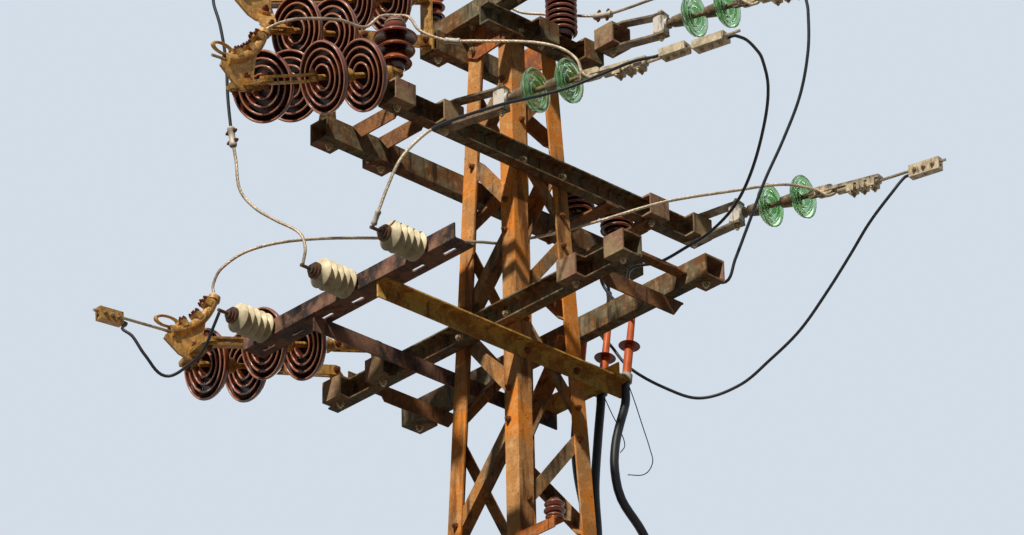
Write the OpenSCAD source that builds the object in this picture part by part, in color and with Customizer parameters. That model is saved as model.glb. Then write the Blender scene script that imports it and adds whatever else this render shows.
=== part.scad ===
// Tapering steel lattice pole with two levels of channel crossarms, dead-end insulator strings to the left
// and to the right, surge arresters and cable terminations. Millimetres, Z up, origin under the plinth.
// The crossarms run along Y at the middle level and along X at the low level.

/* [Body] */
// Height of the leg tops above the ground
leg_h = 10860; // [9000:20:13000]
// Width over the legs at ground level
base_w = 1020; // [800:10:1300]
// Width over the legs at the top
top_w = 214; // [200:2:260]
// Flange width of the leg angles
leg_w = 65; // [55:1:80]
// Thickness of the leg angles
leg_t = 7; // [5:0.5:10]
// Flange width of the bracing angles
brace_w = 45; // [35:1:50]
// Thickness of the bracing angles
brace_t = 5; // [4:0.5:7]
// Number of bracing bays up each face
bays = 16; // [12:1:20]
// Height of the concrete plinth
plinth_h = 250; // [150:10:400]
// Ground each side of the legs that the plinth covers
plinth_lip = 210; // [120:10:300]

/* [Crossarms] */
// Height of the crossarm channels
arm_h = 80; // [65:1:100]
// Flange width of the crossarm channels
arm_b = 45; // [38:1:55]
// Web thickness of the crossarm channels
arm_web = 6; // [4:0.5:9]
// Mean flange thickness of the crossarm channels
arm_flange = 7; // [5:0.5:10]
// Middle of the middle crossarms below the leg tops
mid_drop = 528; // [450:1:600]
// Half length of the middle crossarms
mid_reach = 753; // [700:1:900]
// Middle of the front low crossarm below the leg tops
low_front_drop = 1144; // [1100:1:1200]
// Middle of the back low crossarm below the leg tops
low_back_drop = 1098; // [1060:1:1140]
// Half length of the low crossarms
low_reach = 757; // [700:1:900]
// Middle of the top crossarms above the leg tops
top_rise = 2; // [0:1:10]
// Half length of the top crossarms
top_reach = 258; // [240:1:320]
// Length of a box stub on a crossarm
stub_l = 90; // [70:1:100]

/* [Arrester frame] */
// Top of the arrester arms below the leg tops
rail_drop = 1258; // [1240:1:1290]
// Height of the arrester arm angles
rail_arm_h = 58; // [50:1:65]
// Flange width of the arrester arm angles
rail_arm_b = 44; // [38:1:50]
// Thickness of the arrester frame's angles
rail_t = 6; // [4:0.5:8]
// Reach of the arrester arms to the left
rail_arm_left = 790; // [740:1:850]
// Reach of the arrester arms to the right
rail_arm_right = 330; // [300:1:360]
// Depth of the arrester rail
rail_b = 90; // [75:1:100]
// Height of the arrester rail
rail_h = 58; // [50:1:70]
// Diameter of the arrester sheds
arrester_d = 105; // [85:1:120]
// Length of an arrester body
arrester_l = 165; // [140:1:200]

/* [Insulators] */
// Diameter of a brown disc
disc_d = 250; // [220:2:256]
// Step from disc to disc in a brown string
disc_step = 165; // [155:1:180]
// Diameter of a green disc
glass_d = 158; // [140:1:180]
// Step from disc to disc in a green string
glass_step = 136; // [128:1:150]
// Diameter of a cable termination tube
cable_d = 31; // [26:1:34]
// Diameter of a jumper
jumper_d = 11; // [8:0.5:14]

/* [Hidden] */
$fn = 48;
seat = 0.3;

// Body geometry: the legs lean in by the same amount on each face
taper = (base_w - top_w) / leg_h;
lean = atan(taper / 2);
leg_foot = 60;
first_node_drop = 120;
last_node_z = plinth_h + 60;
brace_inset = 30;
brace_gap = 45;
function half(z) = (top_w + taper * (leg_h - z)) / 2;
function node_half(i) = half(leg_h - first_node_drop)
    * pow(half(last_node_z) / half(leg_h - first_node_drop), i / bays);
function node_z(i) = leg_h - (2 * node_half(i) - top_w) / taper;

// Crossarm places: each arm's web stands against the legs
mid_z = leg_h - mid_drop;
low_front_z = leg_h - low_front_drop;
low_back_z = leg_h - low_back_drop;
top_z = leg_h + top_rise;
rail_z = leg_h - rail_drop;
function web_at(z) = half(z - arm_h / 2) + seat;
mid_x = web_at(mid_z);
low_front_y = web_at(low_front_z);
low_back_y = web_at(low_back_z);
top_x = web_at(top_z);
rail_arm_x = half(rail_z - rail_arm_h) + seat;
mid_top = mid_z + arm_h / 2;
low_top = low_front_z + arm_h / 2;

// Left ends of the box stubs along each arm
mid_front_stubs = [-mid_reach, 221 - mid_reach, mid_reach - 304, mid_reach - stub_l];
mid_back_stubs = [-mid_reach, 238 - mid_reach, mid_reach - 304, mid_reach - stub_l];
low_front_stubs = [20 - low_reach, 242 - low_reach, low_reach - 315, low_reach - stub_l];
low_back_stubs = [-low_reach, 242 - low_reach, low_reach - stub_l];

steel = [0.55, 0.35, 0.2];
rust = [0.8, 0.45, 0.2];
arm_steel = [0.4, 0.36, 0.3];
ochre = [0.75, 0.55, 0.2];
porcelain = [0.25, 0.1, 0.07];

// Directions and frames
function unit(v) = v / norm(v);
function heading(turn, droop) = [cos(turn) * cos(droop), sin(turn) * cos(droop), -sin(droop)];
function level_across(way) = unit(cross([0, 0, 1], way));
function square_up(way) = cross(unit(way), level_across(way));

// Puts the children at a point, their Z along one direction and their X as near as it can be to another
module place(at, z, x) {
    c = unit(z);
    a = unit(x - c * (x * c));
    b = cross(c, a);
    multmatrix([[a.x, b.x, c.x, at.x], [a.y, b.y, c.y, at.y], [a.z, b.z, c.z, at.z], [0, 0, 0, 1]]) children();
}

// Profiles

module angle_shape(h, b, t) {
    fillet = t * 0.8;
    union() {
        square([t, h]);
        square([b, t]);
        translate([t, t])
            difference() {
                square(fillet);
                translate([fillet, fillet]) circle(fillet, $fn = 24);
            }
    }
}

module channel_shape(h = arm_h, b = arm_b) {
    tip = arm_flange * 0.8;
    root = arm_flange * 1.2;
    polygon([[0, -h / 2], [b, -h / 2], [b, -h / 2 + tip], [arm_web, -h / 2 + root],
        [arm_web, h / 2 - root], [b, h / 2 - tip], [b, h / 2], [0, h / 2]]);
}

// The outline round equal discs at some points, which are given anticlockwise
module round_outline(points, r) {
    last = len(points) - 1;
    if (last > 1) polygon(points);
    for (i = [0:last]) {
        a = points[i];
        b = points[i == last ? 0 : i + 1];
        side = r * unit([b.y - a.y, a.x - b.x]);
        polygon([a, a + side, b + side, b]);
        translate(a) circle(r);
    }
}

module along_x(x0, x1) {
    translate([x0, 0, 0]) rotate([90, 0, 90]) linear_extrude(x1 - x0) children();
}

module along_y(y0, y1) {
    translate([0, y1, 0]) rotate([90, 0, 0]) linear_extrude(y1 - y0) children();
}

// Body

module leg(sx, sy, foot = leg_foot) {
    run = leg_h * 1.1;
    intersection() {
        translate([sx * half(0), sy * half(0), 0])
            rotate([sy * atan(taper / 2 * cos(lean)), -sx * lean, 0])
                translate([0, 0, -leg_h * 0.05])
                    linear_extrude(run)
                        to_corner(sx, sy) angle_shape(leg_w, leg_w, leg_t);
        translate([-base_w, -base_w, foot]) cube([2 * base_w, 2 * base_w, leg_h - foot]);
    }
}

// Puts an angle's heel at the outer corner
module to_corner(sx, sy) {
    mirror([sx > 0 ? 1 : 0, 0]) mirror([0, sy > 0 ? 1 : 0]) children();
}

module leg_front() {
    color(rust) leg(1, -1);
}

module leg_left() {
    color(rust) leg(-1, -1);
}

module leg_right() {
    color(rust) leg(1, 1);
}

module leg_back() {
    color(rust) leg(-1, 1);
}

module plinth() {
    w = base_w + 2 * plinth_lip;
    chamfer = 30;
    outline = [[-w / 2, 0], [w / 2, 0], [w / 2, plinth_h - chamfer], [w / 2 - chamfer, plinth_h],
        [chamfer - w / 2, plinth_h], [-w / 2, plinth_h - chamfer]];
    color("silver")
        difference() {
            intersection() {
                along_x(-w / 2, w / 2) polygon(outline);
                along_y(-w / 2, w / 2) polygon(outline);
            }
            for (sx = [-1, 1], sy = [-1, 1]) leg(sx, sy);
        }
}

// One face of the body, seen from outside: X runs across it, Z up its slope, Y inwards
module on_face(turn) {
    rotate([0, 0, turn]) translate([0, -half(0), 0]) rotate([-lean, 0, 0]) children();
}

module brace(from, to) {
    d = to - from;
    translate([from.x, leg_t + seat, from.y])
        rotate([0, -atan2(d.y, d.x), 0])
            rotate([90, 0, 90])
                linear_extrude(norm(d))
                    translate([0, -brace_w / 2]) angle_shape(brace_w, brace_w, brace_t);
}

module bracing(turn) {
    color(rust)
        on_face(turn)
            for (i = [0:bays - 1]) {
                side = i % 2 == 0 ? 1 : -1;
                z0 = node_z(i) / cos(lean) - brace_gap;
                z1 = node_z(i + 1) / cos(lean) + brace_gap;
                x0 = side * (node_half(i) - brace_inset);
                x1 = -side * (node_half(i + 1) - brace_inset);
                brace([x1, z1], [x0, z0]);
            }
}

// Head: two plates over the leg tops carry an angle across the front of the pole

gusset_low = 45;
gusset_y = half(leg_h - gusset_low) + seat;
gusset_t = 8;
top_angle_rise = 77;
top_angle_w = 70;
top_angle_t = 7;
top_angle_reach = 290;
top_angle_turn = -2;
module gusset(y) {
    reach = half(leg_h) - 3;
    color(rust)
        along_y(y, y + gusset_t)
            translate([0, leg_h])
                polygon([[-reach - 46, top_angle_rise], [60, top_angle_rise], [reach, 30], [reach, -30],
                    [-60, -gusset_low], [-reach, -20], [-reach, 45], [-reach - 46, 45]]);
}

module top_gussets() {
    gusset(-gusset_y - gusset_t);
    gusset(gusset_y);
}

module on_top_angle() {
    translate([0, -gusset_y, leg_h + top_angle_rise]) rotate([0, 0, top_angle_turn]) children();
}

function top_angle_point(p) = [p.x * cos(top_angle_turn) - p.y * sin(top_angle_turn),
    p.x * sin(top_angle_turn) + p.y * cos(top_angle_turn) - gusset_y, p.z + leg_h + top_angle_rise];

module top_angle() {
    color(steel)
        on_top_angle()
            along_x(-top_angle_reach, top_angle_reach)
                translate([-top_angle_w, 0]) angle_shape(top_angle_w, top_angle_w, top_angle_t);
}

// A crossarm channel along Y, open away from the pole; side is the face that it lies on
module arm_along_y(side, x, z, y0, y1) {
    color(arm_steel)
        along_y(y0, y1)
            mirror([side < 0 ? 1 : 0, 0]) translate([x, z]) channel_shape();
}

// Short channels that close an arm into a box, toe to toe
module stubs_along_y(side, x, z, starts) {
    color(steel)
        for (y = starts)
            along_y(y, y + stub_l)
                mirror([side < 0 ? 1 : 0, 0])
                    translate([x + 2 * arm_b, z]) mirror([1, 0]) channel_shape();
}

module arm_along_x(side, y, z, x0, x1) {
    rotate([0, 0, -90]) arm_along_y(side, y, z, x0, x1);
}

module stubs_along_x(side, y, z, starts) {
    rotate([0, 0, -90]) stubs_along_y(side, y, z, starts);
}

cross_box_l = 90;
cross_box_rise = 46;
module top_arms() {
    for (side = [-1, 1]) arm_along_y(side, top_x, top_z, -top_reach, top_reach);
    stubs_along_y(-1, top_x, top_z, [-top_reach]);
    stubs_along_y(1, top_x, top_z, [-50, top_reach - stub_l]);
}

module top_cross_box() {
    color(steel)
        along_x(top_x + 2 * arm_b, top_x + 2 * arm_b + cross_box_l)
            translate([top_reach - arm_b, top_z + cross_box_rise]) {
                channel_shape();
                translate([2 * arm_b, 0]) mirror([1, 0]) channel_shape();
            }
}

module middle_arm_front() {
    arm_along_y(1, mid_x, mid_z, -mid_reach, mid_reach);
}

module middle_arm_back() {
    arm_along_y(-1, mid_x, mid_z, -mid_reach, mid_reach);
}

module middle_boxes() {
    stubs_along_y(1, mid_x, mid_z, mid_front_stubs);
    stubs_along_y(-1, mid_x, mid_z, mid_back_stubs);
}

// Angles between the webs of two arms, their upright leg cut at a slant
tie_h = 60;
tie_t = 6;
module tie(length) {
    cut = 45;
    rotate([90, 0, 0])
        translate([0, 0, -tie_t])
            linear_extrude(tie_t)
                polygon([[0, 0], [length, 0], [length - cut, -tie_h], [cut, -tie_h]]);
    translate([0, 0, -tie_t]) cube([length, tie_h, tie_t]);
}

// Flat bars under both middle arms, which carry post insulators
post_bar_y = [mid_reach - 448, mid_reach - 256];
post_bar_w = 60;
post_bar_t = 8;
post_bar_top = mid_z - arm_h / 2;
module middle_ties() {
    gap = 2 * mid_x;
    span = gap + 2 * arm_b;
    color(steel) {
        for (y = [113 - mid_reach, 233 - mid_reach, mid_reach - 193])
            translate([-mid_x, y, mid_top]) tie(gap);
        for (y = post_bar_y)
            translate([-span / 2, y - post_bar_w / 2, post_bar_top - post_bar_t])
                cube([span, post_bar_w, post_bar_t]);
    }
}

module low_arm_front() {
    arm_along_x(1, low_front_y, low_front_z, -low_reach, low_reach);
}

module low_arm_back() {
    arm_along_x(-1, low_back_y, low_back_z, -low_reach, low_reach);
}

module low_boxes() {
    stubs_along_x(1, low_front_y, low_front_z, low_front_stubs);
    stubs_along_x(-1, low_back_y, low_back_z, low_back_stubs);
}

// Ties under the back arm, welded to the web of the front arm, and level angles on the front arm's top
level_tie_w = 40;
level_tie_t = 5;
module low_ties() {
    run = low_front_y + low_back_y + 2 * arm_b;
    under = low_back_z - arm_h / 2;
    color(steel)
        for (side = [-1, 1]) {
            translate([side * (low_reach - 197), -low_front_y, under]) rotate([0, 0, 90]) tie(run);
            translate([side * (low_reach - 107) - level_tie_w / 2, 0, low_top])
                along_y(-low_front_y - 30, low_back_y) angle_shape(level_tie_w, level_tie_w, level_tie_t);
        }
}

// Arrester frame

module arrester_arm(side, y1) {
    color(ochre)
        along_y(-rail_arm_left, y1)
            mirror([side < 0 ? 1 : 0, 0])
                translate([rail_arm_x, rail_z]) mirror([0, 1]) angle_shape(rail_arm_h, rail_arm_b, rail_t);
}

module arrester_arm_front() {
    arrester_arm(1, rail_arm_right);
}

module arrester_arm_back() {
    arrester_arm(-1, rail_arm_right);
}

rail_left = -507;
rail_right = 543;
rail_face = -rail_arm_left - 10;
slot_pitch = 150;
module arrester_rail() {
    color(steel)
        difference() {
            along_x(rail_left, rail_right)
                translate([rail_face, rail_z]) angle_shape(rail_h, rail_b, rail_t);
            for (x = [rail_left + 70:slot_pitch:rail_right - 60])
                translate([x, rail_face + rail_b / 2 + 8, rail_z - 1])
                    linear_extrude(rail_t + 2) round_outline([[-23, 0], [23, 0]], 7);
        }
}

arrester_x = [-389, 29, 372];
arrester_z = rail_z + 34;
arrester_plate = [74, 5, 66];
arrester_y = rail_face - arrester_plate.y - 2 * seat;
arrester_sheds = 5;
stud_l = 40;
stud_d = 12;
module arrester_body() {
    core = arrester_d * 0.55;
    run = arrester_l * 0.84;
    step = run / arrester_sheds;
    rotate([90, 0, 0]) {
        cylinder(d = core, h = run);
        for (i = [0:arrester_sheds - 1])
            translate([0, 0, step * i])
                rotate_extrude()
                    polygon([[0, 2], [arrester_d / 2 - 2, 2], [arrester_d / 2, 4], [arrester_d / 2, 8],
                        [core / 2 + 4, step * 0.75], [0, step * 0.75]]);
    }
}

module arresters() {
    color("ivory")
        for (x = arrester_x) translate([x, arrester_y, arrester_z]) arrester_body();
}

// The stepped metal end of each arrester with its stud, and the plate behind it on the rail
module arrester_studs() {
    color(steel)
        for (x = arrester_x) {
            translate([x, arrester_y - arrester_l * 0.84 - seat, arrester_z]) rotate([90, 0, 0]) {
                cylinder(d = 58, h = arrester_l * 0.06);
                cylinder(d = 44, h = arrester_l * 0.11);
                cylinder(d = 30, h = arrester_l * 0.16);
                cylinder(d = stud_d, h = arrester_l * 0.16 + stud_l);
            }
            translate([x, rail_face - seat - arrester_plate.y, arrester_z])
                translate([-arrester_plate.x / 2, 0, -arrester_plate.z / 2]) cube(arrester_plate);
        }
}

// Disc insulators: Z runs from the pole to the line, 0 at the cap's top. The crown turns down to its rim
// by a quarter of an ellipse, with ribs inside that reach down to the same plane.
module bell(r, top, depth, wall, ribs, rib_d) {
    hub = r * 0.3;
    drop = depth - rib_d / 2;
    crown = [for (a = [0:11.25:90]) [hub + (r - hub) * sin(a), top + drop * (1 - cos(a))]];
    hollow = [for (a = [90:-11.25:0])
        [hub + (r - rib_d - hub) * sin(a), top + wall + (drop - wall) * (1 - cos(a))]];
    rotate_extrude($fn = 96) {
        polygon(concat([[0, top]], crown, hollow, [[0, top + wall]]));
        translate([r - rib_d / 2, top + drop]) circle(d = rib_d, $fn = 24);
        for (share = ribs) {
            inside = (share * r + rib_d / 2 - hub) / (r - hub);
            start = top + drop * (1 - sqrt(1 - inside * inside)) + 2;
            translate([share * r - rib_d / 2, start]) square([rib_d, top + drop - start]);
            translate([share * r, top + drop]) circle(d = rib_d, $fn = 24);
        }
    }
}

cap_h = 78;
disc_depth = 50;
disc_wall = 16;
module disc_shell() {
    bell(disc_d / 2, cap_h, disc_depth, disc_wall, [0.34, 0.556, 0.76], 9);
}

module disc_cap() {
    r = disc_d / 2;
    rotate_extrude($fn = 40)
        polygon([[0, 0], [r * 0.14, 0], [r * 0.19, 6], [r * 0.22, 16], [r * 0.24, cap_h * 0.55],
            [r * 0.31, cap_h * 0.8], [r * 0.34, cap_h - seat], [0, cap_h - seat]]);
}

// Pin under a disc, which runs on past the next cap's top or stops short of it
module disc_pin(past) {
    start = cap_h + disc_wall + seat;
    translate([0, 0, start]) cylinder(d = 20, h = disc_step + past - start, $fn = 24);
}

// Strings to the left: where the string is held, its direction, where its first cap starts, and the
// length of the links from its last pin to the yoke
link_w = 36;
link_t = 8;
link_gap = 1;
plate_t = 12;
bolt_d = 16;
cap_link = 16;
eye_z = mid_top + 46;
middle_strings = [
    [[mid_x + arm_b, 39 - mid_reach, eye_z], [-81, -516, -193], 22, 199],
    [[-mid_x - arm_b - 8, 53 - mid_reach, mid_top + 164], [85, -495, -240], 109, 121]];
low_strings = [
    [[279 - low_reach, -low_front_y - 74, low_top + 47], [-94, -671, -177], 188, 184],
    [[64 - low_reach, -low_front_y - 74, low_top + 34], [-81, -598, -141], 256, 34]];
top_strings = [
    [top_angle_point([41 - top_angle_reach, -top_angle_w - 28, 182]), [-83, -651, -244], 37, 355],
    [[-top_x - arm_b, -top_reach - 30, top_z - 2], [-22, -688, -211], 308, 78]];

function string_at(s, distance) = s[0] + distance * unit(s[1]);
function string_last(s) = s[2] + 2 * disc_step;
function string_end(s) = string_at(s, string_last(s) + s[3]);

module on_string(s, distance, across) {
    place(string_at(s, distance), s[1], across) children();
}

// A flat tongue with a round end at Z = 0, which runs back to its root
module tongue(root) {
    along_x(-plate_t / 2, plate_t / 2) round_outline([[0, 0], [0, root]], 15);
}

// Two flats with a pin through each end, from Z = 0 to Z = run
module link_bars(run) {
    inner = plate_t / 2 + link_gap;
    for (side = [0, 1])
        mirror([side, 0, 0])
            along_x(inner, inner + link_t) round_outline([[0, 0], [0, run]], link_w / 2);
    for (z = [0, run])
        along_x(-inner - link_t - 6, inner + link_t + 6) translate([0, z]) circle(d = bolt_d);
}

// From what holds the string to the tongue on its first cap
module head_link(s) {
    level = level_across(s[1]);
    on_string(s, 0, level) link_bars(s[2] - cap_link);
    on_string(s, s[2] - cap_link, level) tongue(cap_link + 10);
}

module string_discs(strings) {
    color(porcelain)
        for (s = strings, k = [0, 1])
            on_string(s, s[2] + k * disc_step, level_across(s[1])) disc_shell();
}

module string_fittings(strings) {
    yoke(strings);
    for (s = strings) {
        for (k = [0, 1])
            on_string(s, s[2] + k * disc_step, level_across(s[1])) {
                disc_cap();
                disc_pin(k == 0 ? 10 : -10);
            }
        on_string(s, string_last(s), yoke_normal(strings)) {
            tongue(-24);
            link_bars(s[3]);
        }
    }
}

// The yoke joins the two strings' ends, and the clamp's bolt goes through its middle
yoke_r = 28;
yoke_nose = 8;
function yoke_span(strings) = string_end(strings[1]) - string_end(strings[0]);
function yoke_out(strings) = unit(unit(strings[0][1]) + unit(strings[1][1]));
function yoke_normal(strings) = unit(cross(yoke_span(strings), yoke_out(strings)));
function yoke_hole(strings) = (string_end(strings[0]) + string_end(strings[1])) / 2
    + yoke_nose * cross(yoke_normal(strings), unit(yoke_span(strings)));

module yoke_plate(strings, grow) {
    span = norm(yoke_span(strings));
    t = plate_t + 2 * grow;
    place(string_end(strings[0]), yoke_normal(strings), yoke_span(strings))
        translate([0, 0, -t / 2])
            linear_extrude(t) round_outline([[0, 0], [span, 0], [span / 2, yoke_nose]], yoke_r + grow);
}

module yoke(strings) {
    difference() {
        yoke_plate(strings, 0);
        place(yoke_hole(strings), yoke_normal(strings), yoke_span(strings))
            cylinder(d = bolt_d + 2 * seat, h = 2 * plate_t, center = true);
    }
}

// An upright lug that stands on an arm's top, under the string's first pin
module lug(s, foot_z, back, front) {
    foot = foot_z - s[0].z;
    translate(s[0])
        rotate([0, 0, atan2(s[1].y, s[1].x)])
            along_y(-plate_t / 2, plate_t / 2) {
                polygon([[-back, foot], [front, foot], [19, -10], [-19, 10]]);
                circle(22);
            }
}

// The first middle string hooks on to a post insulator's pin
post_pin_d = 24;
module pin_eye(s) {
    r = 26;
    translate([s[0].x, s[0].y, s[0].z - plate_t / 2])
        linear_extrude(plate_t)
            difference() {
                round_outline([[0, 0], [s[1].x, s[1].y] * (s[2] + 12) / norm(s[1])], r);
                circle(d = post_pin_d + 2 * seat);
            }
}

// The first top string hangs on a plate that is bolted to the top angle's face
module angle_bracket(s) {
    w = 56;
    t = 10;
    on_top_angle()
        translate([41 - top_angle_reach - w / 2, -top_angle_w - t - seat, 10]) cube([w, t, 195]);
    on_string(s, 0, level_across(s[1])) tongue(-12);
}

// The second hangs on a cranked plate over the end of the top arm's box
module box_bracket(s) {
    w = 60;
    t = 8;
    face = -top_reach - seat;
    lid = top_z + arm_h / 2;
    along_x(s[0].x - w / 2, s[0].x + w / 2)
        polygon([[face - t, top_z - 34], [face, top_z - 34], [face, lid], [face + 72, lid],
            [face + 72, lid + t], [face - t, lid + t]]);
    on_string(s, 0, level_across(s[1])) tongue(-10);
}

module line_discs_top() {
    string_discs(top_strings);
}

module line_discs_middle() {
    string_discs(middle_strings);
}

module line_discs_low() {
    string_discs(low_strings);
}

module line_fittings_top() {
    color(ochre) {
        string_fittings(top_strings);
        for (s = top_strings) head_link(s);
        angle_bracket(top_strings[0]);
        box_bracket(top_strings[1]);
    }
}

module line_fittings_middle() {
    color(ochre) {
        string_fittings(middle_strings);
        pin_eye(middle_strings[0]);
        head_link(middle_strings[1]);
        lug(middle_strings[1], mid_top, 36, 50);
    }
}

module line_fittings_low() {
    color(ochre) {
        string_fittings(low_strings);
        for (s = low_strings) {
            head_link(s);
            lug(s, low_top, 60, 12);
        }
    }
}

// Strain clamps of the line to the left. Seen from the side, with U towards the line and V up, the
// conductor rises along an arc from the nose to the tail.
wire_bore = jumper_d + 2 * seat;
gun_lift = 12;
gun_r = 229;
gun_centre = [155, 266];
gun_nose = 255;
gun_tail = 192;
gun_tube = 36;
left_droop = 5;
left_heading = -91;
// For each line: its strings, the clamp's heading, and how far the conductor goes on past the nose
left_lines = [[middle_strings, -90, 60], [low_strings, -103, 330], [top_strings, -98.7, 330]];

function gun_origin(g) = yoke_hole(g[0]) + [0, 0, gun_lift];
function gun_point(g, turn) = gun_origin(g)
    + (gun_centre.x + gun_r * cos(turn)) * [cos(g[1]), sin(g[1]), 0]
    + [0, 0, gun_centre.y + gun_r * sin(turn)];
function left_wire(g, distance) = gun_point(g, gun_nose) + distance * heading(left_heading, left_droop);

module gun_arc(from, to) {
    rotate([0, 0, from]) rotate_extrude(angle = to - from) translate([gun_r, 0]) children();
}

module gun_clamp(g) {
    ear_d = 38;
    ear_t = 12;
    difference() {
        translate(gun_origin(g))
            rotate([0, 0, g[1]]) {
                along_y(-5, 5)
                    difference() {
                        polygon([[-24, -34], [30, -44], [64, -32], [120, 14], [100, 60], [-40, 150],
                            [-34, 100], [-24, 40]]);
                        translate(gun_centre) circle(gun_r + 9, $fn = 96);
                    }
                translate([gun_centre.x, 0, gun_centre.y])
                    rotate([90, 0, 0]) {
                        gun_arc(gun_tail, gun_nose) gun_trough(gun_tube);
                        for (end = [gun_tail, gun_nose - 4]) gun_arc(end, end + 4) gun_trough(gun_tube + 10);
                        for (turn = [202, 221, 240])
                            rotate([0, 0, turn])
                                translate([gun_r - 32, -13, -20]) cube([32 - wire_bore / 2, 26, 40]);
                    }
            }
        yoke_plate(g[0], seat);
    }
    place(yoke_hole(g[0]), yoke_normal(g[0]), yoke_span(g[0])) {
        for (side = [0, 1])
            mirror([0, 0, side])
                translate([0, 0, plate_t / 2 + seat]) cylinder(d = ear_d, h = ear_t);
        cylinder(d = bolt_d, h = plate_t + 2 * ear_t + 12, center = true);
    }
}

// Half a tube, open towards the arc's centre
module gun_trough(d) {
    difference() {
        circle(d = d);
        circle(d = wire_bore);
        translate([-d, -wire_bore / 2]) square([d, wire_bore]);
    }
}

// Strings to the right: the box that holds the string, its straps' length, the rise of the spacer at
// their end, and how far the conductor goes on past the clamp's nose
right_heading = 12;
glass_droop = 4.5;
right_droop = 1;
right_lines = [
    [[mid_x + arm_b, mid_front_stubs[1] + stub_l / 2, mid_z], 232, -10, 364],
    [[mid_x + arm_b, mid_front_stubs[3] + stub_l / 2, mid_z], 179, 6, 262],
    [[top_x + 2 * arm_b + cross_box_l / 2, top_reach, top_z + cross_box_rise], 205, -16, 150]];
glass_way = heading(right_heading, glass_droop);
glass_up = square_up(glass_way);
glass_side = -level_across(glass_way);
glass_first = 53;
glass_cap_h = 60;
glass_depth = 34;
glass_wall = 11;
glass_bolt = glass_first + 2 * glass_step + 20;
clamp_plate = [245, 34, 12];
clamp_trough = glass_bolt + 76;
clamp_nose = glass_bolt + 243;
wire_drop = 14;

function spacer_at(g) = g[0] + g[1] * heading(right_heading, 0) + [0, 0, g[2]];
function right_clamp_point(g, distance) = spacer_at(g) + distance * glass_way - wire_drop * glass_up;
function beside_fork(g) = [
    right_clamp_point(g, glass_bolt + 5) + 28 * glass_side + 10 * glass_up,
    right_clamp_point(g, glass_bolt + 41) + 13 * glass_side - 14 * glass_up];
function right_wire(g, distance) = right_clamp_point(g, clamp_nose)
    + distance * heading(right_heading, right_droop);

module on_glass(g, distance, across) {
    place(spacer_at(g) + distance * glass_way, glass_way, across) children();
}

module glass_discs() {
    color("seagreen")
        for (g = right_lines, k = [0, 1])
            on_glass(g, glass_first + k * glass_step, glass_up)
                bell(glass_d / 2, glass_cap_h, glass_depth, glass_wall, [0.45, 0.72], 6);
}

// A strap over the box and one under it, both cranked to the spacer, seen from the side
strap_w = 40;
strap_t = 8;
spacer = [44, 36, 72];
module strap(length, rise) {
    near = arm_h / 2;
    far = rise + spacer.z / 2;
    bend = 58;
    along_y(-strap_w / 2, strap_w / 2)
        polygon([[-30, near], [bend, near], [length - spacer.x / 2, far], [length + spacer.x / 2, far],
            [length + spacer.x / 2, far + strap_t], [length - spacer.x / 2, far + strap_t],
            [bend, near + strap_t], [-30, near + strap_t]]);
}

module glass_straps() {
    level = level_across(glass_way);
    color("tan")
        for (g = right_lines) {
            translate(g[0])
                rotate([0, 0, right_heading]) {
                    strap(g[1], g[2]);
                    mirror([0, 0, 1]) strap(g[1], -g[2]);
                    translate([g[1], 0, g[2]]) cube(spacer, center = true);
                }
            on_glass(g, 0, level) {
                cylinder(d = 26, h = glass_first);
                translate([0, 0, spacer.x / 2]) cylinder(d = 40, h = 14);
            }
            for (k = [0, 1])
                on_glass(g, glass_first + k * glass_step, level) {
                    cylinder(d1 = 40, d2 = 56, h = glass_cap_h - seat);
                    translate([0, 0, glass_cap_h + glass_wall + seat])
                        cylinder(d = 18, h = glass_step + (k == 0 ? 8 : -4) - glass_cap_h - glass_wall - seat);
                }
            on_glass(g, glass_bolt, level)
                along_x(-plate_t / 2, plate_t / 2)
                    difference() {
                        round_outline([[0, 0], [0, -34]], 14);
                        circle(d = bolt_d + 2 * seat);
                    }
        }
}

// A fork round the string's eye, a flat bar, and a tube under it with three keepers
module bar_clamp(g) {
    inner = plate_t / 2 + seat;
    start = glass_bolt + 24;
    on_glass(g, 0, level_across(glass_way)) {
        for (side = [0, 1])
            mirror([side, 0, 0])
                along_x(inner, inner + 8) round_outline([[0, glass_bolt], [0, start + 20]], 17);
        along_x(-inner - 14, inner + 14) translate([0, glass_bolt]) circle(d = bolt_d);
    }
    on_glass(g, start, glass_up)
        translate([-clamp_plate.z / 2, -clamp_plate.y / 2, 0])
            cube([clamp_plate.z, clamp_plate.y, clamp_plate.x - 24]);
    place(right_clamp_point(g, clamp_trough), glass_way, glass_up)
        difference() {
            union() {
                cylinder(d = 26, h = clamp_nose - clamp_trough);
                for (z = [56, 98, 140])
                    translate([-20, -21, z - 15]) cube([28, 42, 30]);
            }
            translate([0, 0, -1]) cylinder(d = wire_bore, h = clamp_nose);
        }
}

// Parallel groove connectors: the conductor's point and direction, the sides' length and where the
// second wire lies
module connector(at, way, side, length) {
    r = jumper_d / 2 + 9;
    place(at, way, side)
        difference() {
            translate([-r, -15, 0]) cube([2 * r + tap_gap, 30, length]);
            for (x = [0, tap_gap]) translate([x, 0, -1]) cylinder(d = wire_bore, h = length + 2);
        }
}

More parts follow.
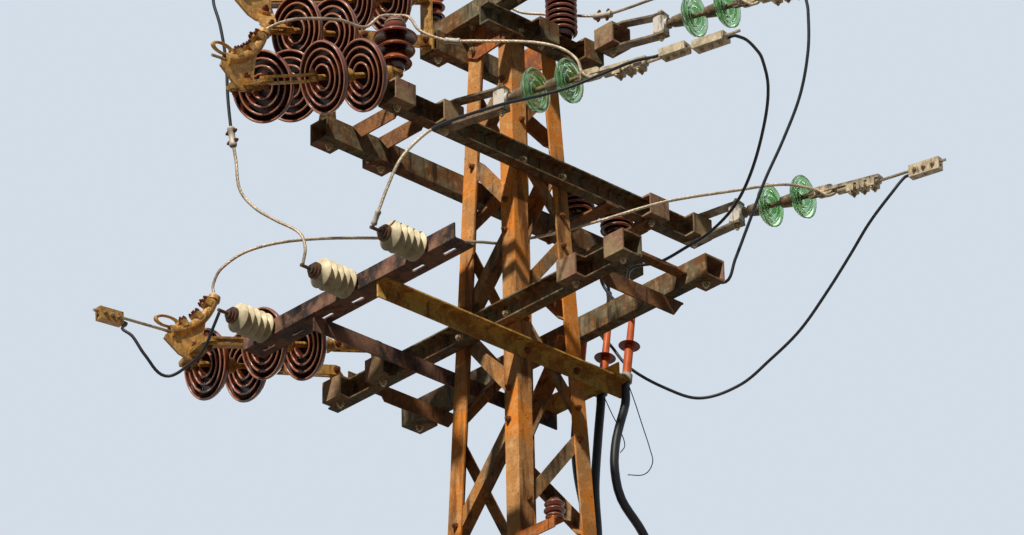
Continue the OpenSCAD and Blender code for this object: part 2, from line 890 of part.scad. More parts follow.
// Each connector: the line, 0 for the left lines and 1 for the right ones, its start past the nose, its
// length and the side where the second wire lies
tap_gap = jumper_d + 6;
behind = [-sin(right_heading), cos(right_heading), 0];
connectors = [[left_lines[1], 0, 213, 99, [0, 0, -1]], [left_lines[2], 0, 130, 99, [0, 0, -1]],
    [right_lines[0], 1, 66, 100, -behind], [right_lines[0], 1, 184, 124, behind],
    [right_lines[1], 1, 122, 120, [0, 0, -1]], [right_lines[2], 1, 30, 100, [0, 0, -1]]];
function wire_at(line, right, distance) = right == 1 ? right_wire(line, distance) : left_wire(line, distance);
function wire_way(right) = right == 1 ? heading(right_heading, right_droop) : heading(left_heading, left_droop);
function tap_at(c, distance) = wire_at(c[0], c[1], c[2] + distance)
    + tap_gap * unit(c[4] - wire_way(c[1]) * (c[4] * wire_way(c[1])));

module clamps() {
    color("tan") {
        for (g = left_lines) gun_clamp(g);
        for (g = right_lines) bar_clamp(g);
        for (c = connectors) connector(wire_at(c[0], c[1], c[2]), wire_way(c[1]), c[4], c[3]);
    }
}

// Post insulators: the place, the pin's height, the first rim's height, the step and radii of the rims,
// and the neck's radius
posts = [
    [[mid_x + arm_b, 39 - mid_reach, mid_top], 58, 22, 50, [57, 68, 76], 32],
    [[top_x + 22, 120, top_z + arm_h / 2], 8, 18, 44, [57, 57, 57, 57], 30],
    [top_angle_point([22 - top_angle_reach, -25, top_angle_t]), 115, 12, 43, [42, 42, 42], 24],
    [[0, post_bar_y[0], post_bar_top], 20, 10, 44, [60, 60, 60], 30],
    [[0, post_bar_y[1], post_bar_top], 20, 10, 44, [60, 60, 60], 30]];
head_h = 28;
function post_top(p) = p[0].z + p[1] + p[2] + len(p[4]) * p[3] + head_h;

// Sheds with hollow undersides, one over the other, and a head with a groove for the wire
module shed_stack(base_h, step, radii, neck) {
    top = base_h + len(radii) * step;
    sheds = [for (i = [0:len(radii) - 1])
        each let (z = base_h + i * step, r = radii[i])
            [[neck, z + 12], [r - 8, z + 2], [r - 5, z], [r - 1, z], [r, z + 3], [r - 2, z + 8],
                [(r + neck) / 2, z + step * 0.42], [neck + 3, z + step * 0.75]]];
    rotate_extrude($fn = 72)
        polygon(concat([[0, 0], [neck - 4, 0], [neck, 6]], sheds,
            [[neck + 6, top - 6], [neck + 6, top + 4], [neck, top + 9], [neck, top + 15], [neck + 4, top + 19],
                [neck - 4, top + head_h], [0, top + head_h]]));
}

module post_insulators() {
    color(porcelain)
        for (p = posts) translate(p[0] + [0, 0, p[1]]) shed_stack(p[2], p[3], p[4], p[5]);
}

// The pins, and the metal cap with two knobs that holds the top jumper on the second insulator
module post_pins() {
    cap = posts[1];
    color(steel) {
        for (p = posts) translate(p[0]) cylinder(d = post_pin_d, h = p[1] - seat);
        translate([cap[0].x, cap[0].y, post_top(cap) + seat])
            rotate([0, 0, 45]) {
                cylinder(d = 52, h = 10);
                translate([-56, -9, 0]) cube([112, 18, 10]);
                for (x = [-56, 56])
                    translate([x, 11, 5]) rotate([90, 0, 0]) cylinder(d = 32, h = 22);
            }
    }
}

low_bracket_z = leg_h - 1990;
low_bracket_y = -half(low_bracket_z) + 20;
low_bracket_h = 40;
low_bracket_end = half(low_bracket_z) + 165;
module low_bracket() {
    color(rust)
        along_x(half(low_bracket_z - low_bracket_h) + seat, low_bracket_end)
            translate([low_bracket_y - 25, low_bracket_z]) mirror([0, 1]) angle_shape(low_bracket_h, 50, 5);
}

module low_insulator() {
    color(porcelain)
        translate([low_bracket_end - 23, low_bracket_y, low_bracket_z + seat])
            rotate_extrude()
                polygon([[0, 0], [30, 0], [36, 10], [22, 22], [36, 32], [22, 44], [32, 54], [16, 75], [0, 75]]);
}

// Cable terminations in a row along X behind the pole, leaning out a little
termination_x = [165, 45, -75];
termination_y = rail_arm_right + 24;
termination_foot = rail_z + 38;
termination_way = [0, 45, 290];
shed_at = 118;
lug_r = 15;
bar_w = 50;
module cable_bar() {
    color(steel)
        along_x(-rail_arm_x - rail_arm_b, rail_arm_x + rail_arm_b)
            translate([rail_arm_right - bar_w, rail_z]) angle_shape(bar_w, bar_w, rail_t);
}

// On the bar: a plate with a slot and a collar for each cable. On the leg: a frame round the cables.
bracket_w = 50;
bracket_t = 4;
bracket_z = rail_z + rail_t + seat;
collar_wall = 6;
module cable_bracket(x) {
    near = rail_arm_right - bar_w + 1.8 * rail_t + seat;
    difference() {
        union() {
            translate([x - bracket_w / 2, near, bracket_z])
                cube([bracket_w, termination_y - near, bracket_t]);
            intersection() {
                on_termination(x, -bar_w) cylinder(d = cable_d + 2 * collar_wall, h = bar_w - seat);
                translate([x - bar_w, near, bracket_z]) cube(2 * bar_w);
            }
        }
        on_termination(x, -2 * bar_w) cylinder(d = cable_d + 2 * seat, h = 3 * bar_w);
        translate([x, rail_arm_right - 20, bracket_z - 1])
            linear_extrude(bracket_t + 2) round_outline([[-10, 0], [10, 0]], 4.5);
    }
}

cleat_from = plinth_h + 300;
cleat_step = 1400;
module cable_brackets() {
    color("white")
        for (x = termination_x) cable_bracket(x);
    color(steel)
        for (z = [cleat_from:cleat_step:leg_h - 2600]) cleat(z);
}

cable_pitch = 36;
cable_off = 22;
module cleat(z) {
    wall = 5;
    near = half(z) - 20 + cable_d / 2 + 5;
    w = 2 * cable_pitch + cable_d + 10;
    off = cable_off + cable_d / 2 + seat;
    under = cable_off - cable_d / 2 - seat;
    on_face(180)
        translate([0, 0, z / cos(lean)])
            linear_extrude(40)
                difference() {
                    translate([-near - wall, -off - wall]) square([w + 2 * wall, off + wall - seat]);
                    translate([-near, -off]) square([w, off - under]);
                }
}

module on_termination(x, distance) {
    place([x, termination_y, termination_foot] + distance * unit(termination_way), termination_way, [1, 0, 0])
        children();
}
function termination_point(k, distance) = [termination_x[k], termination_y, termination_foot]
    + distance * unit(termination_way);

module terminations() {
    run = norm(termination_way);
    color("orangered")
        for (x = termination_x)
            on_termination(x, 0) {
                cylinder(d = cable_d, h = shed_at + 12);
                translate([0, 0, shed_at + 12]) cylinder(d1 = cable_d - 5, d2 = 22, h = run - shed_at - 12);
                translate([0, 0, run]) sphere(lug_r);
            }
}

module termination_sheds() {
    bore = cable_d / 2 + seat;
    color("darkred")
        for (x = termination_x)
            on_termination(x, shed_at)
                rotate_extrude() polygon([[bore, 0], [36, 0], [38, 2], [36, 4], [bore + 3, 9], [bore, 9]]);
}

// A smooth tube along a list of points, each stretch a cubic that keeps the direction at its ends
function hermite(a, b, ta, tb, t) = (2 * t * t * t - 3 * t * t + 1) * a + (t * t * t - 2 * t * t + t) * ta
    + (3 * t * t - 2 * t * t * t) * b + (t * t * t - t * t) * tb;
function way_at(p, i) = unit(p[min(i + 1, len(p) - 1)] - p[max(i - 1, 0)]);
function smooth(p, steps) = concat(
    [for (i = [0:len(p) - 2], k = [0:steps - 1])
        let (run = norm(p[i + 1] - p[i]))
            hermite(p[i], p[i + 1], run * way_at(p, i), run * way_at(p, i + 1), k / steps)],
    [p[len(p) - 1]]);
module sweep(points, d, steps, sides = 8, up = [0.3, 0.2, 1]) {
    path = smooth(points, steps);
    last = len(path) - 1;
    rings = [for (i = [0:last])
        let (t = way_at(path, i), a = unit(cross(t, up)), b = cross(a, t))
            for (k = [0:sides - 1]) path[i] + d / 2 * (cos(360 * k / sides) * a + sin(360 * k / sides) * b)];
    walls = [for (i = [0:last - 1], k = [0:sides - 1], upper = [0, 1])
        let (a = i * sides + k, b = i * sides + (k + 1) % sides)
            upper == 0 ? [a, b, b + sides] : [a, b + sides, a + sides]];
    start = [for (k = [sides - 1:-1:0]) k];
    end = [for (k = [0:sides - 1]) last * sides + k];
    polyhedron(rings, concat([start], walls, [end]));
}

// Routes are given as X, Y and the drop below the leg tops
function from_top(points) = [for (p = points) [p.x, p.y, leg_h - p.z]];

// The cables come together on the outside of the right leg and go down it to the plinth
function on_leg(k, z) = [half(z) - 20 - cable_pitch * k, half(z) + cable_off, z];
riser_routes = [
    [[165, 347, 1295], [165, 344, 1335], [165, 312, 1430], [166, 289, 1510], [167, 281, 1607],
        [170, 305, 1709], [172, 400, 1807], [170, 470, 1930], [150, 480, 2080], [155, 400, 2240],
        [170, 300, 2400]],
    [[45, 346, 1285], [47, 325, 1427], [60, 291, 1635], [95, 262, 1809], [120, 240, 1960]],
    [[-75, 346, 1285], [-65, 325, 1400], [-20, 290, 1560], [40, 265, 1760], [75, 230, 1920]]];
riser_join = [2620, 2160, 2100];
module riser_cables() {
    color("black")
        for (k = [0:2]) {
            top = termination_point(k, -seat);
            joined = leg_h - riser_join[k];
            sweep(concat([top, termination_point(k, -bar_w)], from_top(riser_routes[k]),
                [on_leg(k, joined), on_leg(k, joined - 300), on_leg(k, (joined + plinth_h) / 2),
                    on_leg(k, plinth_h + 300), on_leg(k, plinth_h + 1)]),
                cable_d, 3, 10, [1, 0.2, 0]);
        }
}

// Jumpers from each left line to a right line, through both clamps: middle, low to far, and top
through_routes = [
    [[30, -1106, 335], [58, -1042, 306], [105, -903, 276], [125, -809, 275], [148, -757, 222], [172, -714, 212],
        [215, -690, 228], [250, -672, 290], [312, -613, 332], [406, -563, 358], [579, -473, 404],
        [667, -419, 445], [713, -388, 497]],
    [[-664, -803, 946], [-629, -794, 891], [-552, -734, 831], [-438, -606, 792], [-273, -385, 772],
        [-114, -253, 801], [-42, -130, 790], [-30, -50, 770], [20, 60, 730], [45, 165, 680],
        [165, 245, 655], [355, 375, 612], [528, 577, 561], [600, 665, 540], [643, 716, 538]],
    [[-262, -800, -190], [-268, -520, -310], [-270, -404, -352], [-270, -250, -386], [-270, -130, -382],
        [-190, -20, -345],
        [-94, 61, -269], [-54, 96, -232], [9, 139, -212], [71, 182, -197], [165, 229, -169], [223, 246, -154],
        [322, 263, -145], [418, 276, -139], [560, 310, -135], [695, 338, -120], [748, 339, -84]]];

// Taps: the connector, whether the wire comes in from its far end, the middle of the stud or lug that it
// starts from, the route, and the radius of the stud or lug
function arrester_tip(i) = [arrester_x[i], arrester_y - arrester_l - stud_l + 8, arrester_z];
function lug_tip(k) = termination_point(k, norm(termination_way));
taps = [
    [connectors[2], false, arrester_tip(2),
        [[401, -1000, 1169], [428, -983, 1082], [463, -962, 995], [501, -907, 908], [528, -843, 846],
            [604, -642, 725], [668, -518, 669], [741, -449, 641], [830, -396, 613], [928, -358, 596],
            [989, -343, 600]], stud_d / 2],
    [connectors[1], false, arrester_tip(1),
        [[42, -1003, 1164], [16, -1006, 1097], [-60, -1046, 1032], [-121, -1082, 974], [-163, -1112, 899],
            [-174, -1122, 783], [-184, -1131, 694], [-195, -1141, 549], [-201, -1147, 393], [-216, -1162, 254],
            [-245, -1168, 150]], stud_d / 2],
    [connectors[0], false, arrester_tip(0),
        [[-420, -1002, 1268], [-477, -998, 1335], [-530, -1012, 1374], [-605, -1057, 1405], [-630, -1125, 1340],
            [-657, -1160, 1269], [-688, -1178, 1235]], stud_d / 2],
    [connectors[3], true, lug_tip(0),
        [[286, 265, 891], [415, 282, 906], [535, 284, 900], [658, 281, 890], [805, 254, 857], [945, 196, 802],
            [1112, 92, 721], [1213, 6, 664], [1272, -81, 621], [1290, -125, 614], [1303, -185, 606],
            [1296, -220, 603]], lug_r],
    [connectors[5], false, lug_tip(1),
        [[45, 400, 815], [45, 385, 800], [58, 352, 808], [85, 349, 860], [140, 348, 930], [230, 345, 980],
            [340, 340, 992], [470, 335, 992], [590, 330, 1010], [674, 332, 1070], [710, 343, 997],
            [769, 363, 860], [830, 382, 722], [896, 410, 584], [965, 432, 428],
            [1015, 430, 271], [1028, 426, 120]], lug_r],
    [connectors[4], false, lug_tip(2),
        [[-40, 414, 938], [15, 432, 1020], [82, 456, 1126], [148, 559, 1194], [225, 651, 1232],
            [343, 729, 1200], [452, 770, 1131], [568, 805, 1048], [692, 823, 935], [794, 832, 836],
            [888, 839, 742], [981, 862, 652]], lug_r]];

function tap_run_in(c, from_far) = from_far
    ? [tap_at(c, c[3] + 22), tap_at(c, c[3]), tap_at(c, 12)]
    : [tap_at(c, -22), tap_at(c, 0), tap_at(c, c[3] - 12)];

module jumpers() {
    color("dimgray") {
        for (i = [0:2]) {
            g = left_lines[i];
            r = right_lines[i];
            arc = [for (turn = [gun_nose:-10.5:gun_tail - 7]) gun_point(g, turn)];
            held = [for (d = [clamp_trough - 12, clamp_trough, clamp_nose - 40, clamp_nose])
                right_clamp_point(r, d)];
            route = concat([left_wire(g, g[2]), left_wire(g, 30)], arc, from_top(through_routes[i]),
                beside_fork(r), held, [right_wire(r, 40), right_wire(r, r[3])]);
            sweep(route, jumper_d, 2);
        }
        for (t = taps) {
            route = from_top(t[3]);
            start = t[2] + (t[4] + seat) * unit(route[0] - t[2]);
            sweep(concat([start], route, tap_run_in(t[0], t[1])), jumper_d, 2);
        }
    }
}

plinth();
leg_front();
leg_left();
leg_right();
leg_back();
bracing(0);  // bracing_left
bracing(90);  // bracing_right
bracing(180);  // bracing_back_right
bracing(270);  // bracing_back_left
top_gussets();
top_angle();
top_arms();
top_cross_box();
middle_arm_front();
middle_arm_back();
middle_boxes();
middle_ties();
low_arm_front();
low_arm_back();
low_boxes();
low_ties();
arrester_arm_front();
arrester_arm_back();
arrester_rail();
arresters();
arrester_studs();
line_discs_top();
line_discs_middle();
line_discs_low();
line_fittings_top();
line_fittings_middle();
line_fittings_low();
glass_discs();
glass_straps();
clamps();
post_insulators();
post_pins();
low_bracket();
low_insulator();
cable_bar();
cable_brackets();
terminations();
termination_sheds();
riser_cables();
jumpers();
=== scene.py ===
"""Looks of a rusted steel lattice power pole with three levels of crossarms: the finish of every piece,
turned insulators, wires and cables along their real routes, and the bolts. Metres, Z up, as the frame."""

import math

import bmesh
import bpy
from mathutils import Matrix, Quaternion, Vector


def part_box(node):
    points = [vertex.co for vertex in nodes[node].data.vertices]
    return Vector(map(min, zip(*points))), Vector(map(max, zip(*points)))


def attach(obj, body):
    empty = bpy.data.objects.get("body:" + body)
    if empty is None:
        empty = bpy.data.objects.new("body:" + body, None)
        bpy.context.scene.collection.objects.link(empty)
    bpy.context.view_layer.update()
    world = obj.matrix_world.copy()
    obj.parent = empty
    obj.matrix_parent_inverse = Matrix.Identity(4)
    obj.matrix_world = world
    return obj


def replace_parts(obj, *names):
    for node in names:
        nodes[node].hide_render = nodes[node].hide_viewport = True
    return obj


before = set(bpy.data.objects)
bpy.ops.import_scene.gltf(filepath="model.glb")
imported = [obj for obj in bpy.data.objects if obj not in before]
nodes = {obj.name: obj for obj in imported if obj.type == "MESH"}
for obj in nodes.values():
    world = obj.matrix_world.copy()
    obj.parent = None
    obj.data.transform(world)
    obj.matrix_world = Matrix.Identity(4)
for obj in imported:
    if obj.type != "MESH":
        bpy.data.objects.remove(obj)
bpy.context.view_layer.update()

# Body
LEG_H = 10.86
BASE_W = 1.02
TOP_W = 0.214
BAYS = 16
PLINTH_H = 0.25
SEAT = 0.0003
TAPER = (BASE_W - TOP_W) / LEG_H
LEAN = math.atan(TAPER / 2)
LEG_W = 0.065
FIRST_NODE_DROP = 0.12
LAST_NODE_Z = PLINTH_H + 0.06
BRACE_INSET = 0.03
BRACE_GAP = 0.045


def half(z):
    """Half the body's width over its legs."""
    return (TOP_W + TAPER * (LEG_H - z)) / 2


def node_half(i):
    """Half the body's width where bracing bay i starts."""
    top = half(LEG_H - FIRST_NODE_DROP)
    return top * (half(LAST_NODE_Z) / top) ** (i / BAYS)


def node_z(i):
    """Height where bracing bay i starts."""
    return LEG_H - (2 * node_half(i) - TOP_W) / TAPER


# Crossarms
ARM_H = 0.08
ARM_B = 0.045
ARM_WEB = 0.006
STUB_L = 0.09
MID_REACH = 0.753
LOW_REACH = 0.757
TOP_REACH = 0.258
MID_Z = LEG_H - 0.528
LOW_FRONT_Z = LEG_H - 1.144
LOW_BACK_Z = LEG_H - 1.098
TOP_Z = LEG_H + 0.002
RAIL_Z = LEG_H - 1.258
RAIL_ARM_H = 0.058
RAIL_ARM_B = 0.044


def web_at(z):
    """How far out the web of an arm at this height stands."""
    return half(z - ARM_H / 2) + SEAT


MID_X = web_at(MID_Z)
LOW_FRONT_Y = web_at(LOW_FRONT_Z)
LOW_BACK_Y = web_at(LOW_BACK_Z)
TOP_X = web_at(TOP_Z)
MID_TOP = MID_Z + ARM_H / 2
LOW_TOP = LOW_FRONT_Z + ARM_H / 2
MID_FRONT_STUBS = [-MID_REACH, 0.221 - MID_REACH, MID_REACH - 0.304, MID_REACH - STUB_L]
MID_BACK_STUBS = [-MID_REACH, 0.238 - MID_REACH, MID_REACH - 0.304, MID_REACH - STUB_L]
LOW_FRONT_STUBS = [0.02 - LOW_REACH, 0.242 - LOW_REACH, LOW_REACH - 0.315, LOW_REACH - STUB_L]
LOW_BACK_STUBS = [-LOW_REACH, 0.242 - LOW_REACH, LOW_REACH - STUB_L]
CROSS_BOX_L = 0.09
CROSS_BOX_RISE = 0.046
TOP_ANGLE_RISE = 0.077
TOP_ANGLE_TURN = math.radians(-2)
GUSSET_Y = half(LEG_H - 0.045) + SEAT
GUSSET_T = 0.008


def top_angle_point(x, y, z):
    """A point given on the top angle, in the frame's axes."""
    turned = Matrix.Rotation(TOP_ANGLE_TURN, 3, "Z") @ Vector((x, y, z))
    return turned + Vector((0, -GUSSET_Y, LEG_H + TOP_ANGLE_RISE))


UP = Vector((0, 0, 1))
DOWN = -UP


def heading(turn, droop):
    """A direction by its turn round Z and how far it points down, in degrees."""
    turn, droop = math.radians(turn), math.radians(droop)
    return Vector((math.cos(turn) * math.cos(droop), math.sin(turn) * math.cos(droop), -math.sin(droop)))


def level_across(way):
    """The level direction across a way."""
    return UP.cross(way).normalized()


def placed(at, z, x):
    """Puts Z along one direction and X as near as it can be to another."""
    c = Vector(z).normalized()
    a = (Vector(x) - c * c.dot(Vector(x))).normalized()
    b = c.cross(a)
    return Matrix.Translation(at) @ Matrix((a, b, c)).transposed().to_4x4()


# Strings to the left: where each is held, its direction, where its first cap starts, and its tail
DISC_D = 0.25
DISC_STEP = 0.165
DISC_SIDES = 80
CAP_H = 0.078
EYE_Z = MID_TOP + 0.046
MIDDLE_STRINGS = [
    (Vector((MID_X + ARM_B, 0.039 - MID_REACH, EYE_Z)), Vector((-81, -516, -193)), 0.022, 0.199),
    (Vector((-MID_X - ARM_B - 0.008, 0.053 - MID_REACH, MID_TOP + 0.164)), Vector((85, -495, -240)),
     0.109, 0.121)]
LOW_STRINGS = [
    (Vector((0.279 - LOW_REACH, -LOW_FRONT_Y - 0.074, LOW_TOP + 0.047)), Vector((-94, -671, -177)),
     0.188, 0.184),
    (Vector((0.064 - LOW_REACH, -LOW_FRONT_Y - 0.074, LOW_TOP + 0.034)), Vector((-81, -598, -141)),
     0.256, 0.034)]
TOP_STRINGS = [
    (top_angle_point(-0.249, -0.098, 0.182), Vector((-83, -651, -244)), 0.037, 0.355),
    (Vector((-TOP_X - ARM_B, -TOP_REACH - 0.03, TOP_Z - 0.002)), Vector((-22, -688, -211)), 0.308, 0.078)]
STRINGS = {"top": TOP_STRINGS, "middle": MIDDLE_STRINGS, "low": LOW_STRINGS}
CAP_LINK = 0.016
LINK_OUT = 0.0155
YOKE_NOSE = 0.008
YOKE_OUT = 0.0185


def string_at(s, distance):
    return s[0] + distance * s[1].normalized()


def string_last(s):
    """Where a string's second pin ends."""
    return s[2] + 2 * DISC_STEP


def string_end(s):
    return string_at(s, string_last(s) + s[3])


def yoke_span(strings):
    return string_end(strings[1]) - string_end(strings[0])


def yoke_normal(strings):
    out = strings[0][1].normalized() + strings[1][1].normalized()
    return yoke_span(strings).cross(out).normalized()


def yoke_hole(strings):
    nose = YOKE_NOSE * yoke_normal(strings).cross(yoke_span(strings).normalized())
    return (string_end(strings[0]) + string_end(strings[1])) / 2 + nose


# Strain clamps to the left: strings, heading, and how far the conductor goes on past the nose
GUN_LIFT = 0.012
GUN_R = 0.229
GUN_CENTRE = (0.155, 0.266)
GUN_NOSE = 255
GUN_TAIL = 192
GUN_STEPS = 6
GUN_KEEPERS = [202, 221, 240]
KEEPER_TILT = 2.2
KEEPER_H = 0.032
KEEPER_OUT = 0.014
LEFT_WAY = heading(-91, 5)
LEFT_LINES = [(MIDDLE_STRINGS, -90, 0.06), (LOW_STRINGS, -103, 0.33), (TOP_STRINGS, -98.7, 0.33)]


def gun_point(g, turn, r=GUN_R):
    """A point on the arc of a left clamp, at an angle in degrees."""
    turn = math.radians(turn)
    out = heading(g[1], 0) * (GUN_CENTRE[0] + r * math.cos(turn))
    return yoke_hole(g[0]) + out + Vector((0, 0, GUN_LIFT + GUN_CENTRE[1] + r * math.sin(turn)))


def left_wire(g, distance):
    return gun_point(g, GUN_NOSE) + distance * LEFT_WAY


# Strings to the right: their box, the straps' length, the spacer's rise, and the wire's run past the clamp
RIGHT_HEADING = 12
RIGHT_LINES = [
    (Vector((MID_X + ARM_B, MID_FRONT_STUBS[1] + STUB_L / 2, MID_Z)), 0.232, -0.01, 0.364),
    (Vector((MID_X + ARM_B, MID_FRONT_STUBS[3] + STUB_L / 2, MID_Z)), 0.179, 0.006, 0.262),
    (Vector((TOP_X + 2 * ARM_B + CROSS_BOX_L / 2, TOP_REACH, TOP_Z + CROSS_BOX_RISE)), 0.205, -0.016, 0.15)]
GLASS_WAY = heading(RIGHT_HEADING, 4.5)
GLASS_UP = GLASS_WAY.cross(level_across(GLASS_WAY))
GLASS_SIDE = -level_across(GLASS_WAY)
RIGHT_WAY = heading(RIGHT_HEADING, 1)
GLASS_D = 0.158
GLASS_STEP = 0.136
GLASS_FIRST = 0.053
GLASS_FACETS = 72
GLASS_CAP_H = 0.06
GLASS_BOLT = GLASS_FIRST + 2 * GLASS_STEP + 0.02
CLAMP_TROUGH = GLASS_BOLT + 0.076
CLAMP_NOSE = GLASS_BOLT + 0.243
CLAMP_KEEPERS = [0.056, 0.098, 0.14]
WIRE_DROP = 0.014
SPACER_H = 0.072
STRAP_T = 0.008


def spacer_at(g):
    return g[0] + g[1] * heading(RIGHT_HEADING, 0) + Vector((0, 0, g[2]))


def right_clamp_point(g, distance):
    return spacer_at(g) + distance * GLASS_WAY - WIRE_DROP * GLASS_UP


def beside_fork(g):
    """The wire's way in beside the clamp's fork."""
    return [right_clamp_point(g, GLASS_BOLT + 0.005) + 0.028 * GLASS_SIDE + 0.01 * GLASS_UP,
            right_clamp_point(g, GLASS_BOLT + 0.041) + 0.013 * GLASS_SIDE - 0.014 * GLASS_UP]


def right_wire(g, distance):
    return right_clamp_point(g, CLAMP_NOSE) + distance * RIGHT_WAY


# Groove connectors: a point on the line, its way, the start past the nose, the length, the second wire's side
JUMPER_D = 0.011
TAP_GAP = JUMPER_D + 0.006
CONNECTOR_OUT = 0.015
BEHIND = heading(RIGHT_HEADING + 90, 0)
CONNECTORS = [
    (left_wire, LEFT_LINES[1], LEFT_WAY, 0.213, 0.099, DOWN),
    (left_wire, LEFT_LINES[2], LEFT_WAY, 0.13, 0.099, DOWN),
    (right_wire, RIGHT_LINES[0], RIGHT_WAY, 0.066, 0.1, -BEHIND),
    (right_wire, RIGHT_LINES[0], RIGHT_WAY, 0.184, 0.124, BEHIND),
    (right_wire, RIGHT_LINES[1], RIGHT_WAY, 0.122, 0.12, DOWN),
    (right_wire, RIGHT_LINES[2], RIGHT_WAY, 0.03, 0.1, DOWN)]


def wires_apart(c):
    """The direction from the line to the second wire in a connector."""
    way, side = c[2], c[5]
    return (side - way * side.dot(way)).normalized()


def tap_at(c, distance):
    """A point of the second wire in a connector."""
    point_on, line, start = c[0], c[1], c[3]
    return point_on(line, start + distance) + TAP_GAP * wires_apart(c)


# Post insulators: the place, the pin's height, the first rim, the step and radii of the rims, the neck
POST_BAR_Y = [MID_REACH - 0.448, MID_REACH - 0.256]
POSTS = [
    (Vector((MID_X + ARM_B, 0.039 - MID_REACH, MID_TOP)), 0.058, 0.022, 0.05, [0.057, 0.068, 0.076], 0.032),
    (Vector((TOP_X + 0.022, 0.12, TOP_Z + ARM_H / 2)), 0.008, 0.018, 0.044, [0.057] * 4, 0.03),
    (top_angle_point(-0.268, -0.025, 0.007), 0.115, 0.012, 0.043, [0.042] * 3, 0.024),
    (Vector((0, POST_BAR_Y[0], MID_Z - ARM_H / 2)), 0.02, 0.01, 0.044, [0.06] * 3, 0.03),
    (Vector((0, POST_BAR_Y[1], MID_Z - ARM_H / 2)), 0.02, 0.01, 0.044, [0.06] * 3, 0.03)]
POST_SIDES = 64
HEAD_H = 0.028
GROOVE_Z = 0.009
ORANGE_POSTS = (0, 2)

# Arresters and cable terminations
ARRESTER_X = [-0.389, 0.029, 0.372]
ARRESTER_Y = -0.8056
ARRESTER_Z = RAIL_Z + 0.034
ARRESTER_D = 0.105
ARRESTER_L = 0.165
ARRESTER_SHEDS = 5
ARRESTER_SIDES = 56
STUD_L = 0.04
STUD_R = 0.006
STUD_SUNK = 0.008
TERMINATION_X = [0.165, 0.045, -0.075]
TERMINATION_Y = 0.354
TERMINATION_FOOT = RAIL_Z + 0.038
TERMINATION_WAY = Vector((0, 0.045, 0.29))
LUG_R = 0.015
CABLE_D = 0.031
CABLE_SIDES = 20
CABLE_PITCH = 0.036
CABLE_OFF = 0.022
COLLAR = 0.05


def arrester_tip(i):
    return Vector((ARRESTER_X[i], ARRESTER_Y - ARRESTER_L - STUD_L + STUD_SUNK, ARRESTER_Z))


def termination_point(k, distance):
    foot = Vector((TERMINATION_X[k], TERMINATION_Y, TERMINATION_FOOT))
    return foot + distance * TERMINATION_WAY.normalized()


def lug_tip(k):
    return termination_point(k, TERMINATION_WAY.length)


# Routes in millimetres: X, Y and the drop below the leg tops
RISER_ROUTES = [
    [(165, 347, 1295), (165, 344, 1335), (165, 312, 1430), (166, 289, 1510), (167, 281, 1607),
     (170, 305, 1709), (172, 400, 1807), (170, 470, 1930), (150, 480, 2080), (155, 400, 2240),
     (170, 300, 2400)],
    [(45, 346, 1285), (47, 325, 1427), (60, 291, 1635), (95, 262, 1809), (120, 240, 1960)],
    [(-75, 346, 1285), (-65, 325, 1400), (-20, 290, 1560), (40, 265, 1760), (75, 230, 1920)]]
RISER_JOIN = [2.62, 2.16, 2.1]
THROUGH_ROUTES = [
    [(30, -1106, 335), (58, -1042, 306), (105, -903, 276), (125, -809, 275), (148, -757, 222),
     (172, -714, 212), (215, -690, 228), (250, -672, 290), (312, -613, 332), (406, -563, 358),
     (579, -473, 404), (667, -419, 445), (713, -388, 497)],
    [(-664, -803, 946), (-629, -794, 891), (-552, -734, 831), (-438, -606, 792), (-273, -385, 772),
     (-114, -253, 801), (-42, -130, 790), (-30, -50, 770), (20, 60, 730), (45, 165, 680),
     (165, 245, 655), (355, 375, 612), (528, 577, 561), (600, 665, 540), (643, 716, 538)],
    [(-262, -800, -190), (-268, -520, -310), (-270, -404, -352), (-270, -250, -386), (-270, -130, -382),
     (-190, -20, -345), (-94, 61, -269), (-54, 96, -232), (9, 139, -212), (71, 182, -197),
     (165, 229, -169), (223, 246, -154), (322, 263, -145), (418, 276, -139), (560, 310, -135),
     (695, 338, -120), (748, 339, -84)]]

